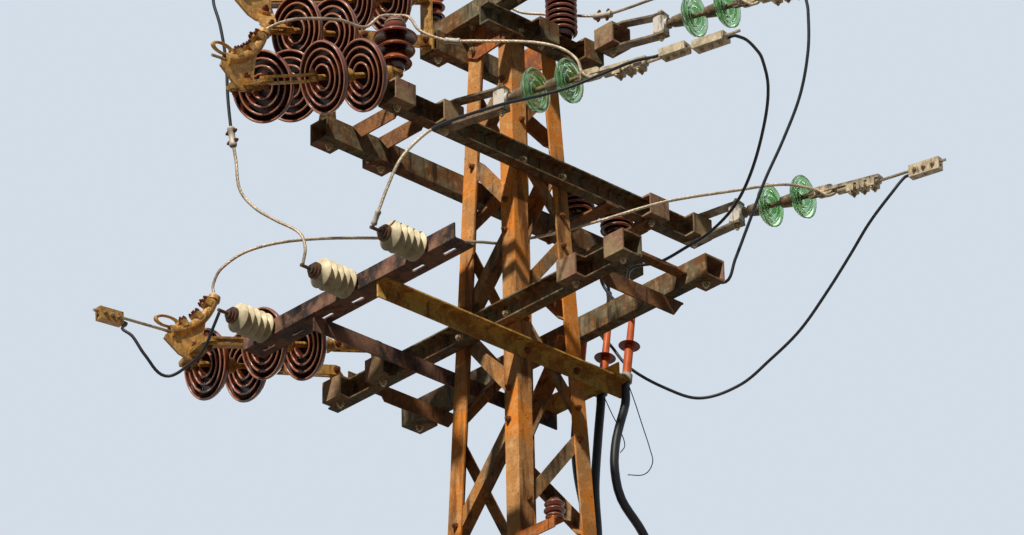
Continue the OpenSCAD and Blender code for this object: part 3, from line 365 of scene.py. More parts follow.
# Taps: connector, whether the wire comes from its far end, start, radius there, route, and bare share
TAPS = [
    (CONNECTORS[2], False, arrester_tip(2), STUD_R,
     [(401, -1000, 1169), (428, -983, 1082), (463, -962, 995), (501, -907, 908), (528, -843, 846),
      (604, -642, 725), (668, -518, 669), (741, -449, 641), (830, -396, 613), (928, -358, 596),
      (989, -343, 600)], 0.3),
    (CONNECTORS[1], False, arrester_tip(1), STUD_R,
     [(42, -1003, 1164), (16, -1006, 1097), (-60, -1046, 1032), (-121, -1082, 974), (-163, -1112, 899),
      (-174, -1122, 783), (-184, -1131, 694), (-195, -1141, 549), (-201, -1147, 393),
      (-216, -1162, 254), (-245, -1168, 150)], 0.45),
    (CONNECTORS[0], False, arrester_tip(0), STUD_R,
     [(-420, -1002, 1268), (-477, -998, 1335), (-530, -1012, 1374), (-605, -1057, 1405),
      (-630, -1125, 1340), (-657, -1160, 1269), (-688, -1178, 1235)], 0),
    (CONNECTORS[3], True, lug_tip(0), LUG_R,
     [(286, 265, 891), (415, 282, 906), (535, 284, 900), (658, 281, 890), (805, 254, 857), (945, 196, 802),
      (1112, 92, 721), (1213, 6, 664), (1272, -81, 621), (1290, -125, 614), (1303, -185, 606),
      (1296, -220, 603)], 0),
    (CONNECTORS[5], False, lug_tip(1), LUG_R,
     [(45, 400, 815), (45, 385, 800), (58, 352, 808), (85, 349, 860), (140, 348, 930), (230, 345, 980),
      (340, 340, 992), (470, 335, 992), (590, 330, 1010), (674, 332, 1070), (710, 343, 997),
      (769, 363, 860), (830, 382, 722), (896, 410, 584), (965, 432, 428), (1015, 430, 271),
      (1028, 426, 120)], 0),
    (CONNECTORS[4], False, lug_tip(2), LUG_R,
     [(-40, 414, 938), (15, 432, 1020), (82, 456, 1126), (148, 559, 1194), (225, 651, 1232),
      (343, 729, 1200), (452, 770, 1131), (568, 805, 1048), (692, 823, 935), (794, 832, 836),
      (888, 839, 742), (981, 862, 652)], 0)]


def from_top(route):
    """The points of a route, in metres and in the frame's axes."""
    return [Vector((x / 1000, y / 1000, LEG_H - drop / 1000)) for x, y, drop in route]


def new_object(name, data):
    made = bpy.data.objects.new(name, data)
    bpy.context.scene.collection.objects.link(made)
    return made


def on_pole(name, mesh):
    """A finished piece, which rides on the pole."""
    piece = new_object(name, mesh)
    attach(piece, "root")
    return piece


# Nodes of materials, of the surround and of the bolts' tree


def new_node(tree, kind, **settings):
    made = tree.nodes.new(kind)
    for name, value in settings.items():
        setattr(made, name, value)
    return made


def feed(tree, socket, value):
    """Links or sets an input."""
    if isinstance(value, bpy.types.NodeSocket):
        tree.links.new(value, socket)
    else:
        socket.default_value = value


def reckoned(tree, operation, a, b):
    """One step of arithmetic."""
    made = new_node(tree, "ShaderNodeMath", operation=operation)
    feed(tree, made.inputs[0], a)
    feed(tree, made.inputs[1], b)
    return made.outputs[0]


def shown_share(tree):
    """1 for rays that show what they meet, in view, in a gloss or through glass, and 0 for the rest."""
    path = new_node(tree, "ShaderNodeLightPath").outputs
    share = path["Is Camera Ray"]
    for kind in ("Is Glossy Ray", "Is Transmission Ray"):
        share = reckoned(tree, "MAXIMUM", share, path[kind])
    return share


# Finishes
PIT_SIZE = 0.006
GRAIN_SIZE = 0.012
GRAIN_DEPTH = 0.0012
CAST_GRAIN = 0.01
CAST_DEPTH = 0.001
CLAMP_SPLIT_X = 0.3
SPACER_REACH = 0.036


def paint(code):
    """A colour written as six hex digits, as the shaders take it."""
    parts = [int(code[i:i + 2], 16) / 255 for i in (0, 2, 4)]
    return [c / 12.92 if c <= 0.04045 else ((c + 0.055) / 1.055) ** 2.4 for c in parts] + [1]


class Finish:
    """One procedural finish, built up by short calls that each return a socket."""

    def __init__(self, name):
        self.material = bpy.data.materials.new(name)
        self.material.use_nodes = True
        self.tree = self.material.node_tree
        self.tree.nodes.clear()
        self.shader = self.node("ShaderNodeBsdfPrincipled")
        output = self.node("ShaderNodeOutputMaterial")
        self.tree.links.new(self.shader.outputs[0], output.inputs["Surface"])
        self.where = self.node("ShaderNodeTexCoord").outputs["Object"]

    def node(self, kind, **settings):
        return new_node(self.tree, kind, **settings)

    def put(self, socket, value):
        feed(self.tree, socket, value)

    def noise(self, size, detail=4, rough=0.6, stretch=(1, 1, 1)):
        """Noise whose patches are about this size across, longer where stretch is above 1."""
        mapping = self.node("ShaderNodeMapping")
        self.put(mapping.inputs["Vector"], self.where)
        mapping.inputs["Scale"].default_value = [1 / s for s in stretch]
        made = self.node("ShaderNodeTexNoise")
        self.put(made.inputs["Vector"], mapping.outputs[0])
        made.inputs["Scale"].default_value = 1 / size
        made.inputs["Detail"].default_value = detail
        made.inputs["Roughness"].default_value = rough
        return made.outputs["Fac"]

    def level(self, source, low, high, least=0.0, most=1.0):
        """Stretches a value's range, with its ends held."""
        made = self.node("ShaderNodeMapRange", clamp=True)
        self.put(made.inputs["Value"], source)
        for name, value in (("From Min", low), ("From Max", high), ("To Min", least), ("To Max", most)):
            made.inputs[name].default_value = value
        return made.outputs[0]

    def math(self, operation, a, b):
        return reckoned(self.tree, operation, a, b)

    def blend(self, share, a, b):
        """Goes from colour a to colour b by a share."""
        made = self.node("ShaderNodeMix", data_type="RGBA")
        self.put(made.inputs["Factor"], share)
        self.put(made.inputs[6], a)
        self.put(made.inputs[7], b)
        return made.outputs[2]

    def over(self, ground, colour, field, low, high, most=1.0):
        """Lays a colour over the ground, up to a most, as a field goes from low to high."""
        return self.blend(self.level(field, low, high, 0, most), ground, colour)

    def attribute(self, name):
        return self.node("ShaderNodeAttribute", attribute_name=name).outputs["Fac"]

    def bump(self, height, strength, distance):
        made = self.node("ShaderNodeBump")
        self.put(made.inputs["Height"], height)
        made.inputs["Strength"].default_value = strength
        made.inputs["Distance"].default_value = distance
        self.put(self.shader.inputs["Normal"], made.outputs[0])

    def set(self, **sockets):
        for name, value in sockets.items():
            self.put(self.shader.inputs[name.replace("_", " ")], value)


def weathered(name, base, patch, dark, pale, rough=0.82, size=0.1, metal=0.0, dark_share=0.55, bump=0.5):
    """Old steel: two colours in patches, pale dust, dark runs down it and dark pits."""
    f = Finish(name)
    ground = f.over(paint(base), paint(patch), f.noise(size, 5, 0.6), 0.44, 0.56)
    dust = f.noise(size / 5, 4, 0.7)
    ground = f.over(ground, paint(pale), dust, 0.5, 0.72, 0.75)
    runs = f.noise(size / 3, 4, 0.65, (1, 1, 7))
    ground = f.over(ground, paint(dark), runs, dark_share, dark_share + 0.14, 0.8)
    pits = f.noise(PIT_SIZE, 3, 0.6)
    ground = f.over(ground, paint(dark), pits, 0.6, 0.68, 0.85)
    f.set(Base_Color=ground, Metallic=metal, Specular_IOR_Level=0.2)
    f.set(Roughness=f.level(dust, 0.3, 0.7, rough - 0.12, rough + 0.1))
    height = f.math("SUBTRACT", f.noise(GRAIN_SIZE, 5, 0.7), f.level(pits, 0.58, 0.7))
    f.bump(height, bump, GRAIN_DEPTH)
    return f.material


def aged_clamps():
    """The left clamps are ochre with rust, the right ones dull zinc."""
    f = Finish("aged_clamps")
    across = f.node("ShaderNodeSeparateXYZ")
    f.put(across.inputs[0], f.where)
    right = f.level(across.outputs["X"], CLAMP_SPLIT_X, CLAMP_SPLIT_X + 0.01)
    patches = f.level(f.noise(0.03, 5, 0.6), 0.42, 0.58)
    ochre = f.blend(patches, paint("d09c4c"), paint("a87838"))
    zinc = f.blend(patches, paint("d2c0a0"), paint("ab9a7d"))
    ground = f.blend(right, ochre, zinc)
    dust = f.noise(0.008, 4, 0.7)
    pale = f.blend(right, paint("f0d49c"), paint("f0e6d0"))
    ground = f.over(ground, pale, dust, 0.52, 0.72, 0.8)
    ground = f.over(ground, paint("4b2e16"), f.noise(0.016, 4, 0.65, (1, 1, 5)), 0.56, 0.68, 0.85)
    f.set(Base_Color=ground, Metallic=0.25, Roughness=f.level(dust, 0.3, 0.7, 0.42, 0.66))
    f.bump(f.noise(CAST_GRAIN, 5, 0.7), 0.4, CAST_DEPTH)
    return f.material


def strap_steel():
    """Dark flat bars, and pale zinc on the spacers between their ends."""
    f = Finish("strap_steel")
    near = None
    for g in RIGHT_LINES:
        apart = f.node("ShaderNodeVectorMath", operation="DISTANCE")
        f.put(apart.inputs[0], f.where)
        apart.inputs[1].default_value = spacer_at(g)
        apart = apart.outputs["Value"]
        near = f.math("MINIMUM", near, apart) if near else apart
    patches = f.level(f.noise(0.04, 5, 0.6), 0.4, 0.6)
    bar = f.blend(patches, paint("8a7558"), paint("5f4f3d"))
    bar = f.over(bar, paint("b5a283"), f.noise(0.012, 4, 0.7), 0.52, 0.7, 0.7)
    ground = f.over(paint("dcd6ca"), bar, near, SPACER_REACH, SPACER_REACH + 0.004)
    ground = f.over(ground, paint("3c2d20"), f.noise(0.02, 4, 0.65, (1, 1, 4)), 0.54, 0.68, 0.8)
    f.set(Base_Color=ground, Metallic=0.15, Roughness=f.level(patches, 0, 1, 0.5, 0.72))
    f.bump(f.noise(CAST_GRAIN, 5, 0.7), 0.4, CAST_DEPTH)
    return f.material


def porcelain(name, glaze, rim):
    """Dark glaze, with painted highlights where the ribs and rims stand out: a lighter brown, and the rim
    colour on their tips.
    """
    f = Finish(name)
    patches = f.noise(0.03, 4, 0.6)
    body = f.over(paint(glaze), paint("5c2a16"), patches, 0.4, 0.62)
    # Painted highlight: the attribute lightens the ribs, rims and crown edge as if lit, and their tips take
    # the rim colour.
    painted_highlight = f.attribute("painted_highlight")
    body = f.over(body, paint("8a4630"), painted_highlight, 0.0, 0.2)
    rim_highlight = f.math("MULTIPLY", f.level(painted_highlight, 0.3, 1), f.level(f.noise(0.02, 3, 0.6), 0.3, 0.6, 0.5, 1))
    body = f.blend(rim_highlight, body, paint(rim))
    f.set(Base_Color=body, Roughness=f.level(patches, 0.3, 0.7, 0.2, 0.36))
    f.set(Specular_IOR_Level=0.4, Coat_Weight=0.12, Coat_Roughness=0.2)
    f.bump(f.noise(0.02, 3, 0.5), 0.08, 0.001)
    return f.material


def green_glass():
    f = Finish("green_glass")
    tone = f.over(paint("cbe8c4"), paint("a2d090"), f.noise(0.05, 3, 0.5), 0.35, 0.65)
    f.set(Base_Color=tone, Roughness=f.level(f.noise(0.01, 3, 0.6), 0.3, 0.8, 0.02, 0.12))
    f.set(Transmission_Weight=0.9, IOR=1.5)
    f.bump(f.noise(0.008, 2, 0.5), 0.06, 0.001)
    return f.material


def moulded(name, body, dirt, rough, grain=0.02, bump=0.15):
    """A moulded or extruded surface with dirt in patches and runs."""
    f = Finish(name)
    tone = f.over(paint(body), paint(dirt), f.noise(grain * 3, 5, 0.65), 0.42, 0.7)
    runs = f.noise(grain, 4, 0.6, (1, 1, 6))
    tone = f.over(tone, paint(dirt), runs, 0.55, 0.72, 0.6)
    f.set(Base_Color=tone, Specular_IOR_Level=0.3)
    f.set(Roughness=f.level(runs, 0.3, 0.7, rough - 0.1, rough + 0.12))
    f.bump(f.noise(grain / 4, 4, 0.6), bump, 0.0008)
    return f.material


def poured_concrete():
    f = Finish("poured_concrete")
    tone = f.over(paint("b9b4a8"), paint("98928a"), f.noise(0.25, 6, 0.65), 0.38, 0.62)
    tone = f.over(tone, paint("8d6a4c"), f.noise(0.08, 5, 0.7, (1, 1, 4)), 0.58, 0.74, 0.6)
    grit = f.noise(0.008, 4, 0.7)
    tone = f.over(tone, paint("6f6a62"), grit, 0.56, 0.68, 0.4)
    f.set(Base_Color=tone, Roughness=0.92)
    f.bump(f.math("ADD", grit, f.noise(0.05, 3, 0.5)), 0.5, 0.003)
    return f.material


FINISHES = {
    "leg": weathered("leg_rust", "ee9239", "cc9258", "4a2410", "f6c68c", size=0.2, dark_share=0.52),
    "brace": weathered("brace_rust", "be8348", "94795a", "2c1c14", "d8b488", size=0.14, dark_share=0.5),
    "gusset": weathered("gusset_rust", "c8733a", "8f5c44", "4e2818", "e8a050", size=0.09, dark_share=0.54),
    "arm": weathered("arm_rust", "77705a", "7a5636", "171410", "c4ac84", size=0.12, dark_share=0.48),
    "box": weathered("box_rust", "a58c6a", "9a7460", "3c2c22", "ccb48c", size=0.12, dark_share=0.55),
    "tie": weathered("tie_rust", "a06c42", "7c5a42", "33231a", "c09062", size=0.08, dark_share=0.53),
    "ochre_arm": weathered("ochre_arm_rust", "f0c05e", "c4843a", "41200f", "f8dc98", size=0.07,
                           dark_share=0.57),
    "rail": weathered("rail_rust", "94705f", "3a3334", "31201a", "b88c6c", size=0.16, dark_share=0.53),
    "fitting": weathered("ochre_fitting", "d09c4c", "a87838", "46290f", "f0d49c", 0.5, 0.025, 0.15, 0.54,
                         0.35),
    "zinc": weathered("dull_zinc", "c3ac86", "a39174", "5d4934", "dfd0af", 0.5, 0.05, 0.35, 0.58, 0.3),
    "strap": strap_steel(),
    "dark_bolt": weathered("dark_bolt", "5f3324", "7a4028", "2e1a14", "8b5a3c", 0.6, 0.02, 0.2, 0.6, 0.3),
    "stud": weathered("old_stud", "57483c", "6d4a38", "241a15", "8b7a66", 0.6, 0.03, 0.3, 0.56, 0.3),
    "pale_bolt": weathered("pale_bolt", "b7a384", "93805f", "54422c", "d8c8a6", 0.45, 0.02, 0.5, 0.6, 0.3),
    "rust_bolt": weathered("rust_bolt", "8f5a34", "6d4228", "3a2417", "b07c50", 0.75, 0.02, 0.1, 0.6, 0.3),
    "clamp": aged_clamps(),
    "wire": weathered("bare_conductor", "bfae96", "9c8b75", "5e4f40", "dccfb9", 0.45, 0.06, 0.45, 0.6, 0.2),
    # The last colour of each porcelain is the painted highlight on its ribs and rims.
    "porcelain": porcelain("brown_porcelain", "220c08", "dba07c"),
    "post": porcelain("orange_porcelain", "3a160b", "dc7c3c"),
    "dark_post": porcelain("dark_porcelain", "170a08", "d8a890"),
    "glass": green_glass(),
    "arrester": moulded("arrester_housing", "f2e4c0", "b4a482", 0.5),
    "sleeve": moulded("termination_sleeve", "d9682c", "b04a1e", 0.5),
    "shed": moulded("termination_shed", "8c2b20", "5e1c18", 0.45),
    "pale_sleeve": moulded("crimped_sleeve", "d2ccbf", "9c8f7c", 0.4),
    "bracket": moulded("white_bracket", "d4cfc2", "8f7d66", 0.6),
    "sheath": moulded("cable_sheath", "15171a", "26272a", 0.45, 0.06, 0.03),
    "insulated": moulded("wire_sheath", "14161b", "23262a", 0.45, 0.06, 0.03),
    "concrete": poured_concrete(),
}

NODE_FINISHES = {
    "plinth": "concrete", "top_gussets": "gusset", "top_angle": "arm", "top_arms": "arm",
    "top_cross_box": "box", "middle_arm_front": "arm", "middle_arm_back": "arm", "middle_boxes": "box",
    "middle_ties": "tie", "low_arm_front": "arm", "low_arm_back": "arm", "low_boxes": "box",
    "low_ties": "tie", "arrester_arm_front": "ochre_arm", "arrester_arm_back": "rail",
    "arrester_rail": "rail", "arrester_studs": "stud", "line_fittings_top": "fitting",
    "line_fittings_middle": "fitting", "line_fittings_low": "fitting", "glass_straps": "strap",
    "clamps": "clamp", "post_pins": "zinc", "low_bracket": "gusset", "cable_bar": "ochre_arm",
    "cable_brackets": "bracket", "terminations": "sleeve", "termination_sheds": "shed",
}


def finish_frame():
    """Gives each piece of the frame its finish."""
    for name, node in nodes.items():
        kind = NODE_FINISHES.get(name, "leg" if name.startswith("leg") else "brace")
        node.data.materials.clear()
        node.data.materials.append(FINISHES[kind])


# Edges turned by more degrees than this are sharp
SHARP_EDGE = 40


class Shape:
    """The points and faces of one piece, and each point's share of painted highlight, collected in the
    frame's axes.
    """

    def __init__(self):
        self.points = []
        self.faces = []
        self.painted_highlight = []

    def add(self, points, faces, place=Matrix(), painted_highlight=None):
        start = len(self.points)
        self.points += [place @ Vector(p) for p in points]
        self.faces += [[start + i for i in face] for face in faces]
        self.painted_highlight += painted_highlight or [0.0] * len(points)

    def piece(self, name, finish, slot):
        """Makes the piece, smooth but for its sharp edges, and lets it ride on the pole."""
        mesh = bpy.data.meshes.new(name)
        mesh.from_pydata(self.points, [], self.faces)
        # Each point's share of painted highlight becomes a point attribute, read by the porcelain finishes.
        mesh.attributes.new("painted_highlight", "FLOAT", "POINT").data.foreach_set("value", self.painted_highlight)
        outward(mesh)
        mesh.polygons.foreach_set("use_smooth", [True] * len(mesh.polygons))
        mesh.set_sharp_from_angle(angle=math.radians(SHARP_EDGE))
        mesh.materials.append(FINISHES[finish])
        return on_pole(name, mesh)


def outward(mesh):
    """Turns every face of closed shapes outwards."""
    shape = bmesh.new()
    shape.from_mesh(mesh)
    bmesh.ops.recalc_face_normals(shape, faces=shape.faces)
    shape.to_mesh(mesh)
    shape.free()


def turned(shape, outline, sides, place, ring=False):
    """Turns an outline of radius, height and share of painted highlight round Z, closed at a radius of 0 or
    on itself as a ring.
    """
    points, painted_highlight, rows, faces = [], [], [], []
    for r, z, highlight_share in outline:
        count = sides if r > 0 else 1
        rows.append([len(points) + k % count for k in range(sides)])
        for k in range(count):
            turn = 2 * math.pi * k / sides
            points.append((r * math.cos(turn), r * math.sin(turn), z))
        painted_highlight += [highlight_share] * count
    after = rows[1:] + (rows[:1] if ring else [])
    for a, b in zip(rows, after):
        for k in range(sides):
            m = (k + 1) % sides
            faces.append(list(dict.fromkeys((a[k], a[m], b[m], b[k]))))
    shape.add(points, faces, place, painted_highlight)


def rounded_edge(middle, z, r, start, end, steps=6):
    """Points of an arc round an edge, with the most painted highlight where it stands out."""
    arc = []
    for i in range(steps + 1):
        turn = math.radians(start + (end - start) * i / steps)
        arc.append((middle + r * math.cos(turn), z + r * math.sin(turn), abs(math.sin(turn)) ** 3))
    return arc


# Insulators. A bell's depth, its wall, its ribs' places as shares of the radius, and the ribs' thickness
BROWN_BELL = (0.05, 0.016, [0.34, 0.556, 0.76], 0.009)
GLASS_BELL = (0.034, 0.011, [0.45, 0.72], 0.006)
HUB_SHARE = 0.3
CROWN_STEPS = 12
# The most painted highlight on a disc's crown, reached at its rim
CROWN_HIGHLIGHT = 0.25


def bell_outline(r, top, depth, wall, ribs, rib_d):
    """Outline of a disc: its crown, its rim, and the ribs inside that reach down as far as the rim."""
    hub = r * HUB_SHARE
    drop = depth - rib_d / 2
    edge = rib_d / 2

    def inside(x):
        share = (x - hub) / (r - rib_d - hub)
        return top + wall + (drop - wall) * (1 - math.sqrt(max(0.0, 1 - share * share)))

    outline = [(0, top, 0)]
    for i in range(CROWN_STEPS + 1):
        a = math.radians(90 * i / CROWN_STEPS)
        # The crown takes painted highlight towards its rim.
        highlight_share = CROWN_HIGHLIGHT * (i / CROWN_STEPS) ** 3
        outline.append((hub + (r - hub) * math.sin(a), top + drop * (1 - math.cos(a)), highlight_share))
    outline += rounded_edge(r - edge, top + drop, edge, 15, 180)
    last = r - rib_d
    for share in sorted(ribs, reverse=True):
        near, far = share * r + edge, share * r - edge
        between = [last + (near - last) * k / 3 for k in (1, 2, 3)]
        outline += [(x, inside(x), 0) for x in between]
        outline += rounded_edge(share * r, top + drop, edge, 0, 180)
        outline.append((far, inside(far), 0))
        last = far
    outline += [(hub, top + wall, 0), (0, top + wall, 0)]
    return outline


def brown_discs():
    outline = bell_outline(DISC_D / 2, CAP_H, *BROWN_BELL)
    for line, strings in STRINGS.items():
        shape = Shape()
        for s in strings:
            for k in (0, 1):
                place = placed(string_at(s, s[2] + k * DISC_STEP), s[1], level_across(s[1]))
                turned(shape, outline, DISC_SIDES, place)
        piece = shape.piece("glazed_discs_" + line, "porcelain", "brown_porcelain")
        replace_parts(piece, "line_discs_" + line)


def glass_discs():
    outline = bell_outline(GLASS_D / 2, GLASS_CAP_H, *GLASS_BELL)
    shape = Shape()
    for g in RIGHT_LINES:
        for k in (0, 1):
            place = placed(spacer_at(g) + (GLASS_FIRST + k * GLASS_STEP) * GLASS_WAY, GLASS_WAY, GLASS_UP)
            turned(shape, outline, GLASS_FACETS, place)
    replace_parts(shape.piece("green_glass_discs", "glass", "green_glass"), "glass_discs")


# The head of a post above its sheds: how far it stands out past the neck, the height, and the share of
# painted highlight
POST_HEAD = [(0.006, -0.006, 0.2), (0.006, 0.004, 0.2), (0, 0.009, 0), (0, 0.015, 0), (0.004, 0.019, 0.3),
             (-0.004, HEAD_H, 0.2)]


def post_outline(first, step, radii, neck):
    """Sheds with hollow undersides, one over the other, and a grooved head."""
    top = first + len(radii) * step
    lip = 0.004
    outline = [(0, 0, 0), (neck - 0.004, 0, 0), (neck, 0.006, 0)]
    for i, r in enumerate(radii):
        z = first + i * step
        # The third number of each point is its share of painted highlight, most near the sheds' rims.
        outline += [(neck, z + 0.012, 0), (r - 0.012, z + lip, 0), (r - 0.008, z + 0.001, 0.3)]
        outline += rounded_edge(r - lip, z + lip, lip, -110, 60, 5)
        outline += [(r - 0.006, z + 0.011, 0.8), ((r + neck) / 2, z + step * 0.42, 0.3),
                    (neck + 0.003, z + step * 0.75, 0)]
    outline += [(neck + out, top + rise, highlight_share) for out, rise, highlight_share in POST_HEAD]
    return outline + [(0, top + HEAD_H, 0)]


def post_top(p):
    return p[0].z + p[1] + p[2] + len(p[4]) * p[3] + HEAD_H


def post_insulators():
    """Orange posts with wide sheds, and dark ones with twice as many narrow sheds."""
    orange, dark = Shape(), Shape()
    for i, (place, pin, first, step, radii, neck) in enumerate(POSTS):
        foot = Matrix.Translation(place + Vector((0, 0, pin)))
        if i in ORANGE_POSTS:
            turned(orange, post_outline(first, step, radii, neck), POST_SIDES, foot)
        else:
            narrow = [r for r in radii for _ in range(2)]
            turned(dark, post_outline(first, step / 2, narrow, neck + 0.01), POST_SIDES, foot)
    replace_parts(orange.piece("orange_posts", "post", "brown_porcelain"), "post_insulators")
    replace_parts(dark.piece("dark_posts", "dark_post", "brown_porcelain"), "post_insulators")


# The low insulator's rims, by height and radius
SHACKLE_RIMS = ((0.004, 0.031), (0.026, 0.036), (0.05, 0.034))
SHACKLE_SIDES = 48


def low_insulator():
    low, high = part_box("low_insulator")
    foot = Vector(((low.x + high.x) / 2, (low.y + high.y) / 2, low.z))
    outline = [(0, 0, 0), (0.028, 0, 0)]
    lip = 0.005
    for z, r in SHACKLE_RIMS:
        # Each rim's rounded edge takes painted highlight at its tip.
        outline += rounded_edge(r - lip, z + lip, lip, -80, 70, 5) + [(0.022, z + 0.017, 0)]
    outline += [(0.017, 0.075, 0), (0, 0.075, 0)]
    shape = Shape()
    turned(shape, outline, SHACKLE_SIDES, Matrix.Translation(foot))
    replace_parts(shape.piece("glazed_shackle", "porcelain", "brown_porcelain"), "low_insulator")


# The arresters' core and their run of sheds, as shares of the width and the length
CORE_SHARE = 0.55
SHED_SHARE = 0.84


def arrester_housings():
    core = ARRESTER_D * CORE_SHARE / 2
    run = ARRESTER_L * SHED_SHARE
    step = run / ARRESTER_SHEDS
    rim = ARRESTER_D / 2
    outline = [(0, 0, 0)]
    for i in range(ARRESTER_SHEDS):
        z = step * i
        outline += [(core, z + 0.001, 0), (rim - 0.006, z + 0.0025, 0)]
        outline += rounded_edge(rim - 0.003, z + 0.006, 0.003, -90, 70, 5)
        outline += [((rim + core) / 2, z + step * 0.55, 0.2), (core + 0.003, z + step * 0.8, 0)]
    outline += [(core, run, 0), (0, run, 0)]
    shape = Shape()
    for x in ARRESTER_X:
        turned(shape, outline, ARRESTER_SIDES, placed((x, ARRESTER_Y, ARRESTER_Z), (0, -1, 0), (1, 0, 0)))
    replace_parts(shape.piece("arrester_housings", "arrester", "arrester_housing"), "arresters")


# Long eyes over the noses of the left clamps: half their length and height, then the bar and their place
EYE_SIZE = (0.042, 0.019)
EYE_BAR = 0.008
BAR_SIDES = 8
EYE_SIDES = 28
EYE_RISE = 0.036
EYE_OUT = 0.014


def clamp_eyes():
    shape = Shape()
    length, height = EYE_SIZE
    round_bar = [2 * math.pi * k / BAR_SIDES for k in range(BAR_SIDES)]
    bar = [(1 + EYE_BAR / length * math.cos(a), EYE_BAR * math.sin(a), 0) for a in round_bar]
    oval = Matrix.Diagonal((length, height, 1, 1))
    for g in LEFT_LINES:
        ahead = heading(g[1], 0)
        middle = gun_point(g, GUN_NOSE) + EYE_OUT * ahead + EYE_RISE * UP
        turned(shape, bar, EYE_SIDES, placed(middle, level_across(ahead), ahead) @ oval, ring=True)
    shape.piece("clamp_eyes", "clamp", "ochre_fittings")


# Wires and cables: strands, one turn's length, the valleys' share of the radius, and the points' spacing
STRANDS = 7
STRAND_SIDES = 4
LAY = 0.11
VALLEY = 0.84
BARE_STEP = 0.009
BLACK_STEP = 0.014
CABLE_STEP = 0.03
EARTH_STEP = 0.012
THIN_SIDES = 8


def way_at(points, i):
    return (points[min(i + 1, len(points) - 1)] - points[max(i - 1, 0)]).normalized()


def smooth(points, spacing):
    """A curve through the points, each stretch a cubic that keeps the direction at its ends."""
    curve = []
    for i in range(len(points) - 1):
        a, b = points[i], points[i + 1]
        run = (b - a).length
        ta, tb = run * way_at(points, i), run * way_at(points, i + 1)
        steps = max(2, round(run / spacing))
        for k in range(steps):
            t = k / steps
            curve.append((2 * t**3 - 3 * t**2 + 1) * a + (t**3 - 2 * t**2 + t) * ta
                         + (3 * t**2 - 2 * t**3) * b + (t**3 - t**2) * tb)
    return curve + [points[-1]]


def index_at(curve, share):
    """The curve's inner point that is nearest to a share of its length."""
    return max(1, min(len(curve) - 2, round(share * (len(curve) - 1))))


def tube(shape, curve, r, sides=12, strands=0):
    """A tube along a curve. With strands it is twisted from that many."""
    way = (curve[1] - curve[0]).normalized()
    side = way.orthogonal().normalized()
    count = strands * STRAND_SIDES or sides
    points, faces, gone = [], [], 0.0
    for i, at in enumerate(curve):
        ahead = way_at(curve, i)
        side = way.rotation_difference(ahead) @ side
        way = ahead
        over = way.cross(side)
        gone += (at - curve[i - 1]).length if i else 0
        for k in range(count):
            turn = 2 * math.pi * k / count
            reach = r
            if strands:
                reach *= VALLEY + (1 - VALLEY) * abs(math.cos(strands * turn / 2))
                turn += 2 * math.pi * gone / LAY
            points.append(at + reach * (math.cos(turn) * side + math.sin(turn) * over))
    for i in range(len(curve) - 1):
        for k in range(count):
            a, b = i * count + k, i * count + (k + 1) % count
            faces.append([a, b, b + count, a + count])
    last = (len(curve) - 1) * count
    faces += [list(range(count))[::-1], list(range(last, last + count))]
    shape.add(points, faces)


# A sleeve's end: shares of its radius, and how far in from the end they are
CRIMP_END = [(0, 0), (0.85, 0), (1, 0.003), (1, 0.01), (0.86, 0.014)]
CRIMP_SIDES = 12


def crimp(shape, curve, share, length, r):
    """A sleeve pressed round a wire, with a ridge at each end."""
    i = index_at(curve, share)
    outline = [(part * r, inwards - length / 2, 0) for part, inwards in CRIMP_END]
    outline += [(across, -along, 0) for across, along, _ in reversed(outline)]
    turned(shape, outline, CRIMP_SIDES, placed(curve[i], way_at(curve, i), (0.3, 0.2, 1)))


def through_curve(i):
    """A jumper from a left line through both its clamps to a right line."""
    g, r = LEFT_LINES[i], RIGHT_LINES[i]
    straight = 0.04
    stops = (CLAMP_TROUGH - 0.012, CLAMP_TROUGH, CLAMP_NOSE - straight, CLAMP_NOSE)
    route = [left_wire(g, g[2]), left_wire(g, 0.03)]
    route += [gun_point(g, GUN_NOSE + (GUN_TAIL - GUN_NOSE) * k / GUN_STEPS) for k in range(GUN_STEPS + 1)]
    route += from_top(THROUGH_ROUTES[i]) + beside_fork(r) + [right_clamp_point(r, stop) for stop in stops]
    return smooth(route + [right_wire(r, straight), right_wire(r, r[3])], BARE_STEP)


def tap_curve(c, from_far, start, r, route):
    """A tap from a stud or a lug to its connector."""
    length = c[4]
    run_in = [length + 0.022, length, 0.012] if from_far else [-0.022, 0, length - 0.012]
    points = from_top(route)
    first = start + (r + SEAT) * (points[0] - start).normalized()
    return smooth([first] + points + [tap_at(c, d) for d in run_in], BLACK_STEP)


# Sleeves: the jumper or the tap, the share of it where the sleeve sits, and each kind's length and radius
THROUGH_SLEEVES = {0: 0.487}
TAP_SLEEVES = {0: 0.02, 3: 0.05, 4: 0.03, 5: 0.04}
BOLTED_SLEEVES = {"through": (2, 0.668), "tap": (1, 0.45)}
THROUGH_SLEEVE = (0.055, 0.011)
TAP_SLEEVE = (0.05, 0.0105)
BOLTED_SLEEVE = (0.074, 0.0135)


def bolted_sleeves():
    """The curves that carry a bolted sleeve, and the share where it sits."""
    line, share = BOLTED_SLEEVES["through"]
    tap, tap_share = BOLTED_SLEEVES["tap"]
    return [(through_curve(line), share), (tap_curve(*TAPS[tap][:5]), tap_share)]


def sleeve_bolts():
    """Two bolts on each side of each bolted sleeve."""
    rows = []
    for curve, share in bolted_sleeves():
        i = index_at(curve, share)
        way = way_at(curve, i)
        side = way.cross(BEHIND).normalized()
        for along in (-0.018, 0.02):
            for facing in (side, -side):
                rows.append((curve[i] + along * way + 0.0115 * facing, facing, CLAMP_BOLT))
    return rows


